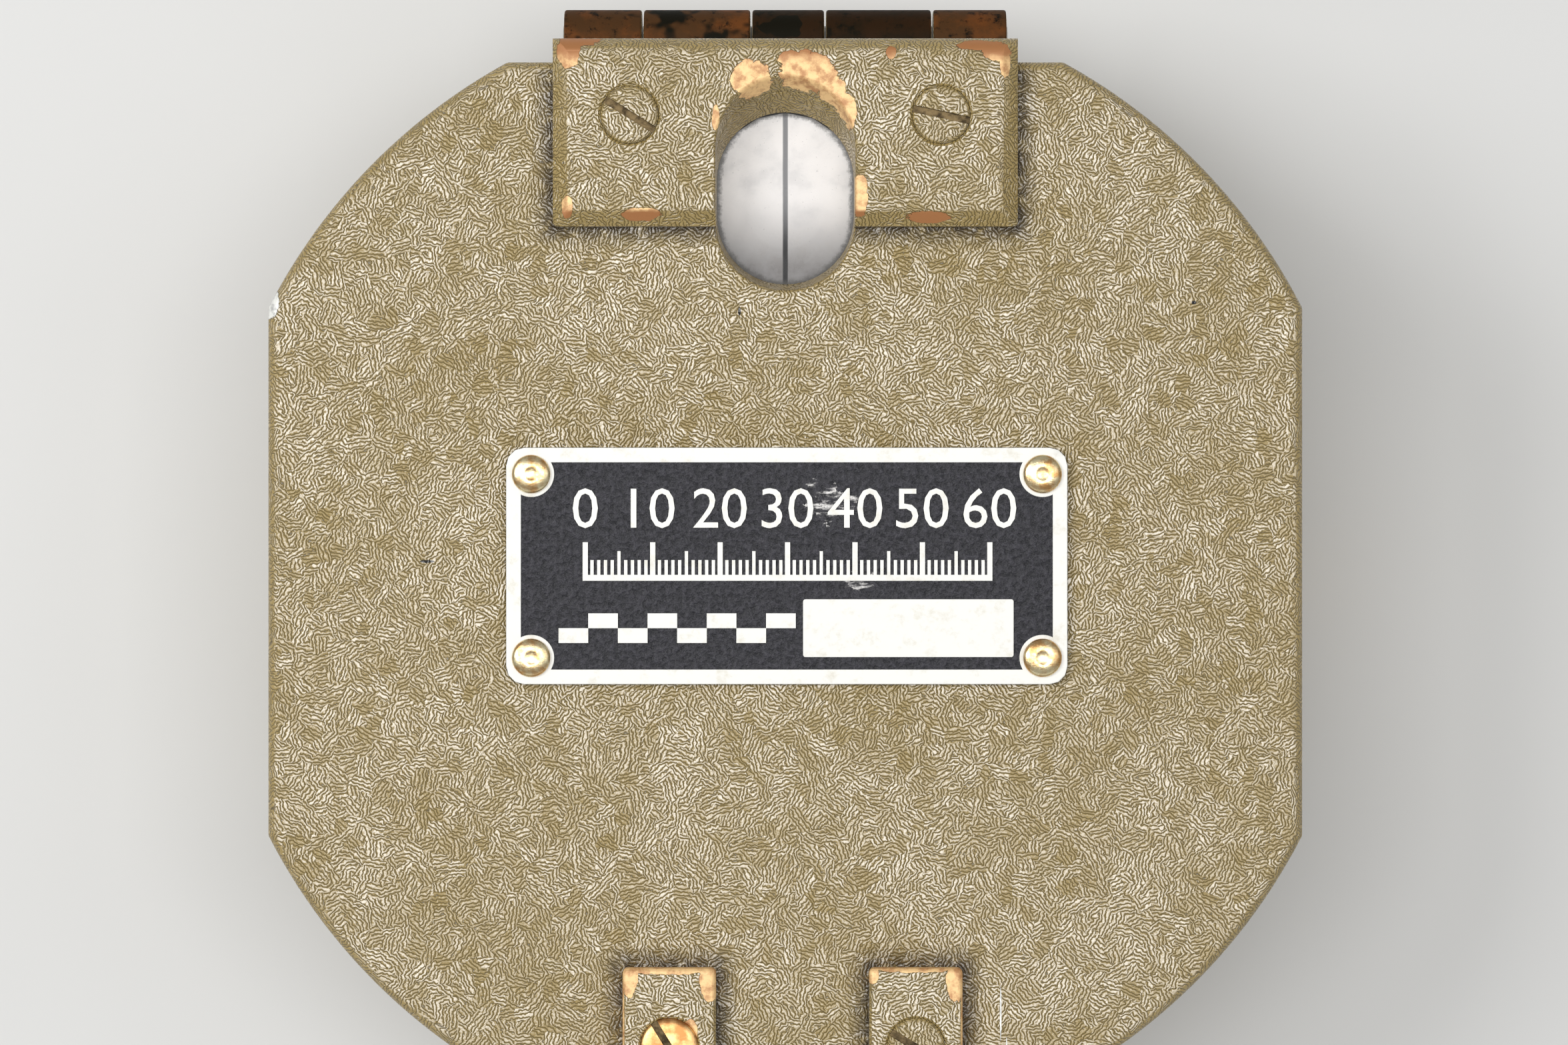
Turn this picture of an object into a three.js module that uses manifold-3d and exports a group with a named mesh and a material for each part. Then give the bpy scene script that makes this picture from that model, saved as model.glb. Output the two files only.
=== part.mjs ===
// Military pocket compass: a cast body and a mirrored cover on a five-knuckle hinge, two folding
// sights, a geared azimuth ring, levels on a turning arm and a needle that the cover lifts.
// Millimetres, +Z up, the cover hinge at +Y. The origin is the middle of the flat back.
import * as THREE from "three";
import { mergeVertices } from "three/addons/utils/BufferGeometryUtils.js";
import Module from "manifold-3d";

const wasm = await Module();
wasm.setup();

// How finely round things are drawn, and how far a cutter runs past what it cuts
const ROUND_STEPS = 40;
const MEDIUM_STEPS = 20;
const SMALL_STEPS = 12;
const OUTLINE_STEPS = 4;
const EDGE_STEPS = 2;
const OVERRUN = 1;
const WELD_DISTANCE = 1e-4;

// Gaps between pieces: resting faces, a shaft in its hole, and pieces that swing past each other
const SEAT_GAP = 0.05;
const HOLE_GAP = 0.1;
const SWING_GAP = 0.3;

// Case: a circle cut flat at the sides and at the ends, the circle standing out by the corner rise
const CASE_WIDTH = 70;
const CASE_LENGTH = 69;
const CORNER_RISE = 4.3;
const BODY_HEIGHT = 17;
const COVER_HEIGHT = 10.2;
const COVER_ROOF = 2;
const COVER_EDGE = 0.85;
const BODY_EDGE = 0.7;
const COVER_WALL = 2.2;
const RIM_GAP = 0.1;

// Hollows of the body, from the back up: recess, bowl, scale's ledge and window's ledge
const BACK_RECESS_RADIUS = 17;
const BACK_RECESS_DEPTH = 2.2;
const FLOOR_THICKNESS = 2;
const WINDOW_LEDGE_BELOW_RIM = 2.6;
const WINDOW_LEDGE_WIDTH = 1.6;
const SCALE_LEDGE_BELOW_WINDOW = 5.2;
const SCALE_LEDGE_WIDTH = 1.4;
const WINDOW_WALL = 1.3;

// Cover hinge: leaf on the cover, leaf on the body, knuckles from -X to +X
const HINGE_STANDOFF = 0.15;
const HINGE_BARREL_RADIUS = 2.1;
const HINGE_PIN_RADIUS = 1;
const LEAF_WIDTH = 31.4;
const LEAF_THICKNESS = 1.4;
const LEAF_LEG_THICKNESS = 1.5;
const LEAF_COVERS = 11.2;
const LEAF_BEVEL = 1.1;
const LEAF_BEVEL_DROP = 0.8;
const LEAF_LOWER_END = 4.2;
const KNUCKLE_WIDTHS = [5.5, 7.5, 5.1, 7.4, 5.2];
const KNUCKLE_GAP = 0.14;
const LEAF_SCREW_X = 10.5;
const LEAF_SCREW_FROM_END = 3.7;
const BODY_LEAF_SCREW_Z = 8.6;

// Screws
const SCREW_HEAD_RADIUS = 1.95;
const SCREW_HEAD_HEIGHT = 1;
const SCREW_HEAD_CHAMFER = 0.2;
const SCREW_SEAT_DEPTH = 0.75;
const SCREW_SHANK_RADIUS = 0.9;
const SCREW_SHANK_LENGTH = 1.9;
const SLOT_WIDTH = 0.5;
const SLOT_DEPTH = 0.5;

// How far each screw's slot is turned, in degrees, left screw first
const COVER_LEAF_SLOT_DEGREES = [-32, -12];
const BRACKET_SLOT_DEGREES = [-58, -31];
const BODY_LEAF_SLOT_DEGREES = [20, 75];
const REAR_BRACKET_SLOT_DEGREES = [40, 110];

// Sighting hole through the leaf and the cover, wider at the top than at the glass
const SIGHT_HOLE_WIDTH = 9.4;
const SIGHT_HOLE_LENGTH = 14.8;
const SIGHT_HOLE_PAST_GLASS = 2.2;
const SIGHT_GLASS_LENGTH = 11.7;
const SIGHT_GLASS_FROM_EDGE = 0.3;
const SIGHT_HOLE_SLOPE_X = 0.1;
const BACKING_MARGIN = 0.25;

// Mirror stack, measured up from the cover's rim
const MIRROR_SIDE_GAP = 0.8;
const MIRROR_THICKNESS = 2.2;
const MIRROR_BACKING_THICKNESS = 0.35;
const MIRROR_RING_WIDTH = 1.6;
const MIRROR_RING_THICKNESS = 0.6;

// Data plate
const PLATE_LENGTH = 37.9;
const PLATE_WIDTH = 16;
const PLATE_THICKNESS = 0.5;
const PLATE_CORNER = 1.2;
const PLATE_X = 0.1;
const PLATE_Y = 0.4;
const RIVET_FROM_END = 1.7;
const RIVET_FROM_SIDE = 1.8;
const RIVET_RADIUS = 1.3;
const RIVET_HEIGHT = 0.4;
const RIVET_SHANK_RADIUS = 0.7;
const RIVET_SHANK_LENGTH = 1.9;

// Front sight and its two brackets over the cover's free end
const FRONT_STANDOFF = 0.75;
const BRACKET_COVERS = 7.8;
const BRACKET_THICKNESS = 1.3;
const BRACKET_LEG_THICKNESS = 1.5;
const BRACKET_EDGE = 0.42;
const BRACKET_WIDTH = 6.3;
const BRACKET_LEFT_X = -7.82;
const BRACKET_RIGHT_X = 8.8;
const BRACKET_SCREW_FROM_END = 2.5;
const FRONT_BARREL_RADIUS = 1.8;
const FRONT_PIN_RADIUS = 0.8;
const FRONT_PIN_HEIGHT = 4.7;
const FRONT_LEAF_BELOW_PIN = 1;
const FRONT_LEAF_THICKNESS = 1.2;
const FRONT_LEAF_LENGTH = 24;
const FRONT_LEAF_WIDTH = 7.6;
const FRONT_TIP_WIDTH = 3.4;
const FRONT_WINDOW_WIDTH = 2.6;
const FRONT_WINDOW_START = 6;
const FRONT_WINDOW_END = 17.5;
const FRONT_PEEP_AT = 20.4;
const FRONT_PEEP_RADIUS = 0.7;
const NOTCH_HALF_WIDTH = 5.8;
const NOTCH_HEIGHT = 5.5;

// Rear sight: bracket on the body's free end, long arm, small leaf in the arm's tip
const REAR_STANDOFF = 0.55;
const REAR_BARREL_RADIUS = 1.9;
const REAR_PIN_RADIUS = 0.8;
const REAR_PIN_HEIGHT = 0.6;
const REAR_KNUCKLE_WIDTH = 6.8;
const REAR_EAR_THICKNESS = 1.5;
const REAR_PLATE_WIDTH = 20;
const REAR_PLATE_THICKNESS = 1.3;
const REAR_PLATE_LOW = 5;
const REAR_PLATE_HIGH = 14.6;
const REAR_PLATE_CORNER = 1.2;
const REAR_SCREW_X = 7.1;
const ARM_THICKNESS = 1.8;
const ARM_RISE = 0.4;
const ARM_LENGTH = 54;
const ARM_WIDTH = 9;
const ARM_NECK_LENGTH = 7;
const ARM_TIP_CORNER = 1.6;
const ARM_SLOT_WIDTH = 2.4;
const ARM_SLOT_START = 12;
const ARM_SLOT_END = 33;
const FORK_WIDTH = 4.8;
const FORK_LENGTH = 15.6;
const PEEP_PIN_FROM_TIP = 2.5;
const PEEP_PIN_RADIUS = 0.5;
const PEEP_BARREL_RADIUS = 0.85;
const PEEP_LEAF_WIDTH = 4;
const PEEP_LEAF_LENGTH = 12;
const PEEP_LEAF_THICKNESS = 1.1;
const PEEP_HOLE_RADIUS = 0.65;
const PEEP_HOLE_FROM_END = 2.4;

// Window of the body
const GASKET_THICKNESS = 0.3;
const GASKET_WIDTH = 1.4;
const WINDOW_THICKNESS = 1.4;
const WINDOW_SIDE_GAP = 0.2;
const WINDOW_RING_WIDTH = 1.9;
const WINDOW_RING_THICKNESS = 0.6;
const RING_SPLIT = 1.2;

// Azimuth scale with a crown gear under it, and the pinion that turns it
const SCALE_WIDTH = 4.8;
const SCALE_THICKNESS = 1.2;
const SCALE_BEVEL = 0.5;
const CROWN_TEETH = 120;
const CROWN_SIDE_GAP = 0.2;
const CROWN_WIDTH = 1.2;
const TOOTH_HEIGHT = 0.85;
const TOOTH_TIP_WIDTH = 0.42;
const TOOTH_ROOT_WIDTH = 0.78;
const PINION_TEETH = 8;
const PINION_ADDENDUM = 0.38;
const PINION_DEDENDUM = 0.45;
const PINION_TIP_WIDTH = 0.36;
const PINION_ROOT_WIDTH = 0.86;
const ADJUSTER_SHAFT_RADIUS = 1.15;
const ADJUSTER_HEAD_RADIUS = 3;
const ADJUSTER_HEAD_THICKNESS = 1.4;
const ADJUSTER_SLOT_WIDTH = 0.9;
const BUSHING_RADIUS = 2.05;
const SCALE_RING_WIDTH = 1.5;
const SCALE_RING_THICKNESS = 0.7;
const INDEX_LENGTH = 2.1;
const INDEX_WIDTH = 1.8;

// Elevation scale on the floor, level arm and what it carries
const ELEVATION_SIDE_GAP = 0.4;
const ELEVATION_WIDTH = 5.1;
const ELEVATION_THICKNESS = 0.4;
const ELEVATION_HALF_DEGREES = 78;
const ARM_PLATE_THICKNESS = 0.9;
const ARM_PLATE_RISE = 0.6;
const LEVEL_HUB_RADIUS = 4;
const LEVEL_ARM_WIDTH = 5;
const LEVEL_POINTER_SHORT = 0.5;
const LEVEL_POINTER_WIDTH = 4.4;
const TUBE_RADIUS = 2.9;
const TUBE_WALL = 0.55;
const TUBE_LENGTH = 21;
const TUBE_Y = 10.4;
const TUBE_WINDOW_LENGTH = 15;
const TUBE_SADDLE_DEPTH = 0.35;
const VIAL_RADIUS = 2.15;
const CUP_RADIUS = 4.1;
const CUP_WALL = 0.5;
const CUP_HEIGHT = 3.4;
const CUP_FLOOR = 1;
const LENS_DOME = 0.6;
const SHAFT_RADIUS = 1.9;
const SHAFT_NECK_RADIUS = 1.2;
const PIVOT_BASE_RADIUS = 2.6;
const PIVOT_BASE_HEIGHT = 0.9;
const PIVOT_RADIUS = 0.85;
const PIVOT_CONE = 1.7;
const LEVER_THICKNESS = 1;
const LEVER_HUB_RADIUS = 4.2;
const LEVER_LENGTH = 14.8;
const LEVER_TIP_RADIUS = 2.2;
const WASHER_RADIUS = 3.4;
const WASHER_THICKNESS = 0.2;
const LEVER_SCREW_RADIUS = 2.2;
const LEVER_SCREW_HEAD = 0.6;

// Needle and its jewelled cap, drawn in the lifted place that the closed cover gives it
const NEEDLE_TIP_GAP = 1.9;
const NEEDLE_HUB_WIDTH = 4.6;
const NEEDLE_WAIST_WIDTH = 2;
const NEEDLE_THICKNESS = 0.4;
const NEEDLE_LIFT = 1.2;
const CAP_FLANGE_RADIUS = 2.5;
const CAP_FLANGE_THICKNESS = 0.5;
const CAP_RADIUS = 1.6;
const CAP_HEIGHT = 1.9;
const CAP_BORE_RADIUS = 1.15;
const JEWEL_THICKNESS = 0.9;
const JEWEL_CONE_RADIUS = 0.8;
const JEWEL_CONE_DEPTH = 0.5;
const WEIGHT_AT = 15;
const WEIGHT_LENGTH = 2.2;
const WEIGHT_RADIUS = 1.05;

// Needle-lifting lever across one corner of the bowl
const LIFTER_DEGREES = 135;
const LEVER_PIVOT_INSIDE = 2.5;
const LIFTER_PIN_OUTSIDE = 2.8;
const LIFTER_PIN_RADIUS = 0.9;
const LIFTING_LEVER_PAST_PIN = 1.2;
const LIFTING_LEVER_WIDTH = 2.6;
const LIFTING_LEVER_THICKNESS = 0.7;
const LIFTING_LEVER_Z = 7.2;
const LIFTING_BEND_OUTER = 19;
const LIFTING_BEND_INNER = 5.5;
const LIFTING_FORK_INNER = 1.2;
const LIFTING_FORK_WIDTH = 5;
const LIFTING_FORK_SLOT = 2.3;
const LIFTING_FORK_DEPTH = 3.3;
const LIFTING_BOSS_RADIUS = 1;
const LIFTING_AXLE_RADIUS = 0.45;
const LIFTING_EAR_THICKNESS = 0.8;
const LIFTING_EAR_WIDTH = 2.6;
const LIFTING_BASE_LENGTH = 6;
const SPRING_RADIUS = 1.35;
const SPRING_WIRE_RADIUS = 0.22;
const SPRING_TURNS = 4;
const SPRING_STEPS_PER_TURN = 8;
const SPRING_SIDES = 4;
const SPRING_POCKET_GAP = 0.3;
const SPRING_LOW = 2.6;
const SLOT_SIDE_GAP = 0.5;
const LIFT_TRAVEL = 0.75;

// Sizes that follow from the ones above
const HALF_WIDTH = CASE_WIDTH / 2;
const HALF_LENGTH = CASE_LENGTH / 2;
const CORNER_RADIUS = Math.max(HALF_WIDTH, HALF_LENGTH) + CORNER_RISE;
const CASE_REACH = Math.min(HALF_WIDTH, HALF_LENGTH);
const COVER_HOLLOW_RADIUS = CASE_REACH - COVER_WALL;
const WINDOW_SEAT_RADIUS = CASE_REACH - WINDOW_WALL;
const SCALE_SEAT_RADIUS = WINDOW_SEAT_RADIUS - WINDOW_LEDGE_WIDTH;
const BOWL_RADIUS = SCALE_SEAT_RADIUS - SCALE_LEDGE_WIDTH;
const WINDOW_LEDGE_HEIGHT = BODY_HEIGHT - WINDOW_LEDGE_BELOW_RIM;
const SCALE_LEDGE_HEIGHT = WINDOW_LEDGE_HEIGHT - SCALE_LEDGE_BELOW_WINDOW;
const FLOOR_TOP = BACK_RECESS_DEPTH + FLOOR_THICKNESS;
const LEAF_INNER_END = HALF_LENGTH - LEAF_COVERS;
const LEAF_SCREW_Y = HALF_LENGTH - LEAF_SCREW_FROM_END;
const BRACKET_INNER_END = HALF_LENGTH - BRACKET_COVERS;
const BRACKET_SCREW_Y = HALF_LENGTH - BRACKET_SCREW_FROM_END;
const RIVET_X = PLATE_LENGTH / 2 - RIVET_FROM_END;
const RIVET_Y = PLATE_WIDTH / 2 - RIVET_FROM_SIDE;
const HINGE_PIN_Y = HALF_LENGTH + HINGE_STANDOFF + HINGE_BARREL_RADIUS;
const HINGE_REACH = HINGE_PIN_Y + HINGE_BARREL_RADIUS;
const FRONT_PIN_Y = -HALF_LENGTH - FRONT_STANDOFF - FRONT_BARREL_RADIUS;
const FRONT_REACH = FRONT_PIN_Y - FRONT_BARREL_RADIUS;
const REAR_PIN_Y = -HALF_LENGTH - REAR_STANDOFF - REAR_BARREL_RADIUS;
const REAR_SCREW_Z = (REAR_PLATE_LOW + REAR_PLATE_HIGH) / 2;
const LEAF_TOP = COVER_HEIGHT + SEAT_GAP + LEAF_THICKNESS;
const MIRROR_TOP = COVER_HEIGHT - COVER_ROOF - MIRROR_BACKING_THICKNESS - 2 * SEAT_GAP;
const MIRROR_LOW = MIRROR_TOP - MIRROR_THICKNESS;
const MIRROR_RADIUS = COVER_HOLLOW_RADIUS - MIRROR_SIDE_GAP;
const MIRROR_RING_RADIUS = COVER_HOLLOW_RADIUS - HOLE_GAP;
const SIGHT_GLASS_HIGH = MIRROR_RADIUS - SIGHT_GLASS_FROM_EDGE;
const SIGHT_GLASS_LOW = SIGHT_GLASS_HIGH - SIGHT_GLASS_LENGTH;
const SIGHT_HOLE_HIGH = SIGHT_GLASS_HIGH + SIGHT_HOLE_PAST_GLASS;
const SIGHT_HOLE_LOW = SIGHT_HOLE_HIGH - SIGHT_HOLE_LENGTH;
const SCALE_LOW = SCALE_LEDGE_HEIGHT + HOLE_GAP;
const SCALE_TOP = SCALE_LOW + SCALE_THICKNESS;
const SCALE_OUTER_RADIUS = SCALE_SEAT_RADIUS - SWING_GAP;
const SCALE_INNER_RADIUS = SCALE_OUTER_RADIUS - SCALE_WIDTH;
const CROWN_OUTER_RADIUS = BOWL_RADIUS - CROWN_SIDE_GAP;
const CROWN_INNER_RADIUS = CROWN_OUTER_RADIUS - CROWN_WIDTH;
const ELEVATION_OUTER_RADIUS = SCALE_INNER_RADIUS - ELEVATION_SIDE_GAP;
const ELEVATION_INNER_RADIUS = ELEVATION_OUTER_RADIUS - ELEVATION_WIDTH;
const CROWN_MIDDLE_RADIUS = (CROWN_OUTER_RADIUS + CROWN_INNER_RADIUS) / 2;
const PINION_PITCH_RADIUS = CROWN_MIDDLE_RADIUS * PINION_TEETH / CROWN_TEETH;
const PINION_Z = SCALE_LOW - TOOTH_HEIGHT / 2 - PINION_PITCH_RADIUS;
const WINDOW_LOW = WINDOW_LEDGE_HEIGHT + GASKET_THICKNESS + 2 * SEAT_GAP;
const WINDOW_TOP = WINDOW_LOW + WINDOW_THICKNESS;
const WINDOW_RADIUS = WINDOW_SEAT_RADIUS - WINDOW_SIDE_GAP;
const LEVEL_PLATE_LOW = FLOOR_TOP + ARM_PLATE_RISE;
const LEVEL_PLATE_TOP = LEVEL_PLATE_LOW + ARM_PLATE_THICKNESS;
const TUBE_Z = LEVEL_PLATE_TOP + TUBE_RADIUS - TUBE_SADDLE_DEPTH + SEAT_GAP;
const CUP_Y = TUBE_Y + TUBE_RADIUS + SWING_GAP + CUP_RADIUS;
const CAP_TOP = WINDOW_LOW - SWING_GAP;
const CAP_LOW = CAP_TOP - CAP_HEIGHT;
const NEEDLE_LOW = CAP_LOW + CAP_FLANGE_THICKNESS + SEAT_GAP;
const JEWEL_LOW = CAP_LOW + CAP_FLANGE_THICKNESS;
const PIVOT_TIP = JEWEL_LOW + JEWEL_CONE_DEPTH - NEEDLE_LIFT - SEAT_GAP;
const PIVOT_BASE_LOW = LEVEL_PLATE_TOP + SEAT_GAP;
const LEVER_TOP = BACK_RECESS_DEPTH - WASHER_THICKNESS - 2 * SEAT_GAP;
const LEVER_LOW = LEVER_TOP - LEVER_THICKNESS;
const LIFTING_FORK_TOP = CAP_LOW - HOLE_GAP;
const LIFTING_LEVER_TOP = LIFTING_LEVER_Z + LIFTING_LEVER_THICKNESS;
const LEVEL_POINTER_REACH = ELEVATION_OUTER_RADIUS - LEVEL_POINTER_SHORT;
const NEEDLE_HALF_LENGTH = SCALE_INNER_RADIUS - NEEDLE_TIP_GAP;
const LEVER_PIVOT_AT = SCALE_INNER_RADIUS - LEVER_PIVOT_INSIDE;
const LIFTER_PIN_AT = WINDOW_SEAT_RADIUS + LIFTER_PIN_OUTSIDE;
const LIFTING_LEVER_END = LIFTER_PIN_AT + LIFTING_LEVER_PAST_PIN;
const LIFTER_RADIANS = THREE.MathUtils.degToRad(LIFTER_DEGREES);

// Turns a closed three.js geometry into a solid that can be cut and joined
function solidOf(geometry) {
  const bare = geometry.clone();
  bare.deleteAttribute("normal");
  bare.deleteAttribute("uv");
  const welded = mergeVertices(bare, WELD_DISTANCE);
  const corners = welded.index.array;
  const kept = [];
  for (let i = 0; i < corners.length; i += 3) {
    const [a, b, c] = [corners[i], corners[i + 1], corners[i + 2]];
    if (a !== b && b !== c && c !== a) kept.push(a, b, c);
  }
  const vertProperties = new Float32Array(welded.attributes.position.array);
  const triVerts = new Uint32Array(kept);
  return new wasm.Manifold(new wasm.Mesh({ numProp: 3, vertProperties, triVerts }));
}

// Turns a finished solid back into a three.js geometry
function geometryOf(solid) {
  const { vertProperties, triVerts } = solid.getMesh();
  const geometry = new THREE.BufferGeometry();
  geometry.setAttribute("position", new THREE.BufferAttribute(vertProperties, 3));
  geometry.setIndex(new THREE.BufferAttribute(triVerts, 1));
  geometry.computeVertexNormals();
  return geometry;
}

function cut(solid, ...cutters) {
  return cutters.reduce((rest, cutter) => rest.subtract(cutter), solid);
}

function join(solid, ...others) {
  return others.reduce((whole, other) => whole.add(other), solid);
}

function block(x0, x1, y0, y1, z0, z1) {
  const geometry = new THREE.BoxGeometry(x1 - x0, y1 - y0, z1 - z0);
  geometry.translate((x0 + x1) / 2, (y0 + y1) / 2, (z0 + z1) / 2);
  return solidOf(geometry);
}

// A profile of [radius, height] points turned about Z, drawn anticlockwise
function turnedGeometry(profile, steps = ROUND_STEPS) {
  const points = [...profile, profile[0]].map(([r, z]) => new THREE.Vector2(r, z));
  const geometry = new THREE.LatheGeometry(points, steps);
  geometry.rotateX(Math.PI / 2);
  return geometry;
}

function turned(profile, steps) {
  return solidOf(turnedGeometry(profile, steps));
}

function disc(radius, z0, z1, steps) {
  return turned([[0, z0], [radius, z0], [radius, z1], [0, z1]], steps);
}

function discAt(x, y, radius, z0, z1, steps = SMALL_STEPS) {
  const geometry = turnedGeometry([[0, z0], [radius, z0], [radius, z1], [0, z1]], steps);
  return solidOf(geometry.translate(x, y, 0));
}

function washer(inner, outer, z0, z1, steps) {
  return turned([[inner, z0], [outer, z0], [outer, z1], [inner, z1]], steps);
}

// A round rod along X, and one along Y
function rodX(radius, x0, x1, y, z, steps = SMALL_STEPS) {
  const geometry = turnedGeometry([[0, x0], [radius, x0], [radius, x1], [0, x1]], steps);
  return solidOf(geometry.rotateY(Math.PI / 2).translate(0, y, z));
}

function rodY(radius, y0, y1, x, z, steps = SMALL_STEPS) {
  const geometry = turnedGeometry([[0, y0], [radius, y0], [radius, y1], [0, y1]], steps);
  return solidOf(geometry.rotateX(-Math.PI / 2).translate(x, 0, z));
}

// A plain extrusion, and a shape in X and Y raised from z0 to z1
function extruded(shape, depth, steps = OUTLINE_STEPS) {
  return new THREE.ExtrudeGeometry(shape, { depth, bevelEnabled: false, curveSegments: steps });
}

function slab(shape, z0, z1, steps = OUTLINE_STEPS) {
  return solidOf(extruded(shape, z1 - z0, steps).translate(0, 0, z0));
}

// The same with its top and bottom edges taken off by width and drop
function softSlab(shape, z0, z1, width, drop, edgeSteps = 1) {
  const geometry = new THREE.ExtrudeGeometry(shape, {
    depth: z1 - z0 - 2 * drop,
    bevelSize: width,
    bevelOffset: -width,
    bevelThickness: drop,
    bevelSegments: edgeSteps,
    curveSegments: OUTLINE_STEPS,
  });
  return solidOf(geometry.translate(0, 0, z0 + drop));
}

// A shape drawn in Y and Z, run along X from x0 to x1
function strip(shape, x0, x1) {
  const geometry = extruded(shape, x1 - x0);
  const [xAxis, yAxis, zAxis] = [0, 1, 2].map((i) => new THREE.Vector3().setComponent(i, 1));
  geometry.applyMatrix4(new THREE.Matrix4().makeBasis(yAxis, zAxis, xAxis));
  return solidOf(geometry.translate(x0, 0, 0));
}

function outline(points) {
  return new THREE.Shape(points.map(([x, y]) => new THREE.Vector2(x, y)));
}

function roundedRectangle(x0, x1, y0, y1, radius) {
  const shape = new THREE.Shape();
  shape.absarc(x1 - radius, y0 + radius, radius, -Math.PI / 2, 0);
  shape.absarc(x1 - radius, y1 - radius, radius, 0, Math.PI / 2);
  shape.absarc(x0 + radius, y1 - radius, radius, Math.PI / 2, Math.PI);
  shape.absarc(x0 + radius, y0 + radius, radius, Math.PI, Math.PI * 3 / 2);
  shape.closePath();
  return shape;
}

// A slot with round ends, its length along Y
function roundEnded(x, width, y0, y1) {
  const radius = width / 2;
  const shape = new THREE.Shape();
  shape.absarc(x, y1 - radius, radius, 0, Math.PI);
  shape.absarc(x, y0 + radius, radius, Math.PI, Math.PI * 2);
  shape.closePath();
  return shape;
}

// Finishes: what each piece is made of
const olivePaint = { color: "#8c8160", roughness: 0.5, metalness: 0.1 };
const brass = { color: "#b9935a", roughness: 0.35, metalness: 0.9 };
const steel = { color: "#8f9296", roughness: 0.35, metalness: 0.9 };
const blackPaint = { color: "#1d1e20", roughness: 0.6, metalness: 0.1 };
const silvered = { color: "#d7d9da", roughness: 0.12, metalness: 1 };
const clearGlass = { color: "#dfe9e6", roughness: 0.05, metalness: 0, transparent: true, opacity: 0.35 };
const levelFluid = { color: "#c9d86a", roughness: 0.08, metalness: 0, transparent: true, opacity: 0.6 };
const rubber = { color: "#26241f", roughness: 0.9, metalness: 0 };
const ruby = { color: "#8e1f33", roughness: 0.1, metalness: 0 };

function piece(name, solid, finish) {
  const mesh = new THREE.Mesh(geometryOf(solid), new THREE.MeshStandardMaterial(finish));
  mesh.name = name;
  return mesh;
}

// A slotted screw with its seat at height 0 and its head up
function screw(name, slotAngle, finish = brass) {
  const chamferLow = SCREW_HEAD_HEIGHT - SCREW_HEAD_CHAMFER;
  const blank = turned([
    [0, -SCREW_SHANK_LENGTH],
    [SCREW_SHANK_RADIUS, -SCREW_SHANK_LENGTH],
    [SCREW_SHANK_RADIUS, 0],
    [SCREW_HEAD_RADIUS, 0],
    [SCREW_HEAD_RADIUS, chamferLow],
    [SCREW_HEAD_RADIUS - SCREW_HEAD_CHAMFER, SCREW_HEAD_HEIGHT],
    [0, SCREW_HEAD_HEIGHT],
  ], SMALL_STEPS);
  const slot = new THREE.BoxGeometry(2 * SCREW_HEAD_RADIUS + OVERRUN, SLOT_WIDTH, 2 * SLOT_DEPTH);
  slot.rotateZ(THREE.MathUtils.degToRad(slotAngle)).translate(0, 0, SCREW_HEAD_HEIGHT);
  return piece(name, cut(blank, solidOf(slot)), finish);
}

// The hole that such a screw needs in what it holds, and in what it screws into
const SCREW_HOLE_RADIUS = SCREW_SHANK_RADIUS + HOLE_GAP;
const SCREW_SEAT_RADIUS = SCREW_HEAD_RADIUS + HOLE_GAP;
const SCREW_REACH = SCREW_SHANK_LENGTH + HOLE_GAP;

// Outline of the case: a circle cut flat at the sides and at the ends
function caseOutline() {
  const sideAngle = Math.acos(HALF_WIDTH / CORNER_RADIUS);
  const endAngle = Math.asin(HALF_LENGTH / CORNER_RADIUS);
  const shape = new THREE.Shape();
  shape.absarc(0, 0, CORNER_RADIUS, sideAngle, endAngle);
  shape.absarc(0, 0, CORNER_RADIUS, Math.PI - endAngle, Math.PI - sideAngle);
  shape.absarc(0, 0, CORNER_RADIUS, Math.PI + sideAngle, Math.PI + endAngle);
  shape.absarc(0, 0, CORNER_RADIUS, -endAngle, -sideAngle);
  shape.closePath();
  return shape;
}

// The case's outline between two heights, rounded only at the edge that shows
function caseBlock(z0, z1, edge, roundTop) {
  const low = roundTop ? z0 - edge : z0;
  const high = roundTop ? z1 : z1 + edge;
  const full = softSlab(caseOutline(), low, high, edge, edge, EDGE_STEPS);
  return full.intersect(block(-CORNER_RADIUS, CORNER_RADIUS, -CORNER_RADIUS, CORNER_RADIUS, z0, z1));
}

// Sighting hole as a cutter between two heights: an oval that narrows towards the glass
function sightHole(z0, z1, margin = 0) {
  const glassZ = COVER_HEIGHT - COVER_ROOF;
  const share = (z) => (z - glassZ) / (LEAF_TOP - glassZ);
  const ringAt = (z) => {
    const low = THREE.MathUtils.lerp(SIGHT_GLASS_LOW, SIGHT_HOLE_LOW, share(z)) - margin;
    const high = THREE.MathUtils.lerp(SIGHT_GLASS_HIGH, SIGHT_HOLE_HIGH, share(z)) + margin;
    const width = SIGHT_HOLE_WIDTH - SIGHT_HOLE_SLOPE_X * (1 - share(z)) + 2 * margin;
    return roundEnded(0, width, low, high).getPoints(OUTLINE_STEPS);
  };
  return loft([[ringAt(z0), z0], [ringAt(z1), z1]]);
}

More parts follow.
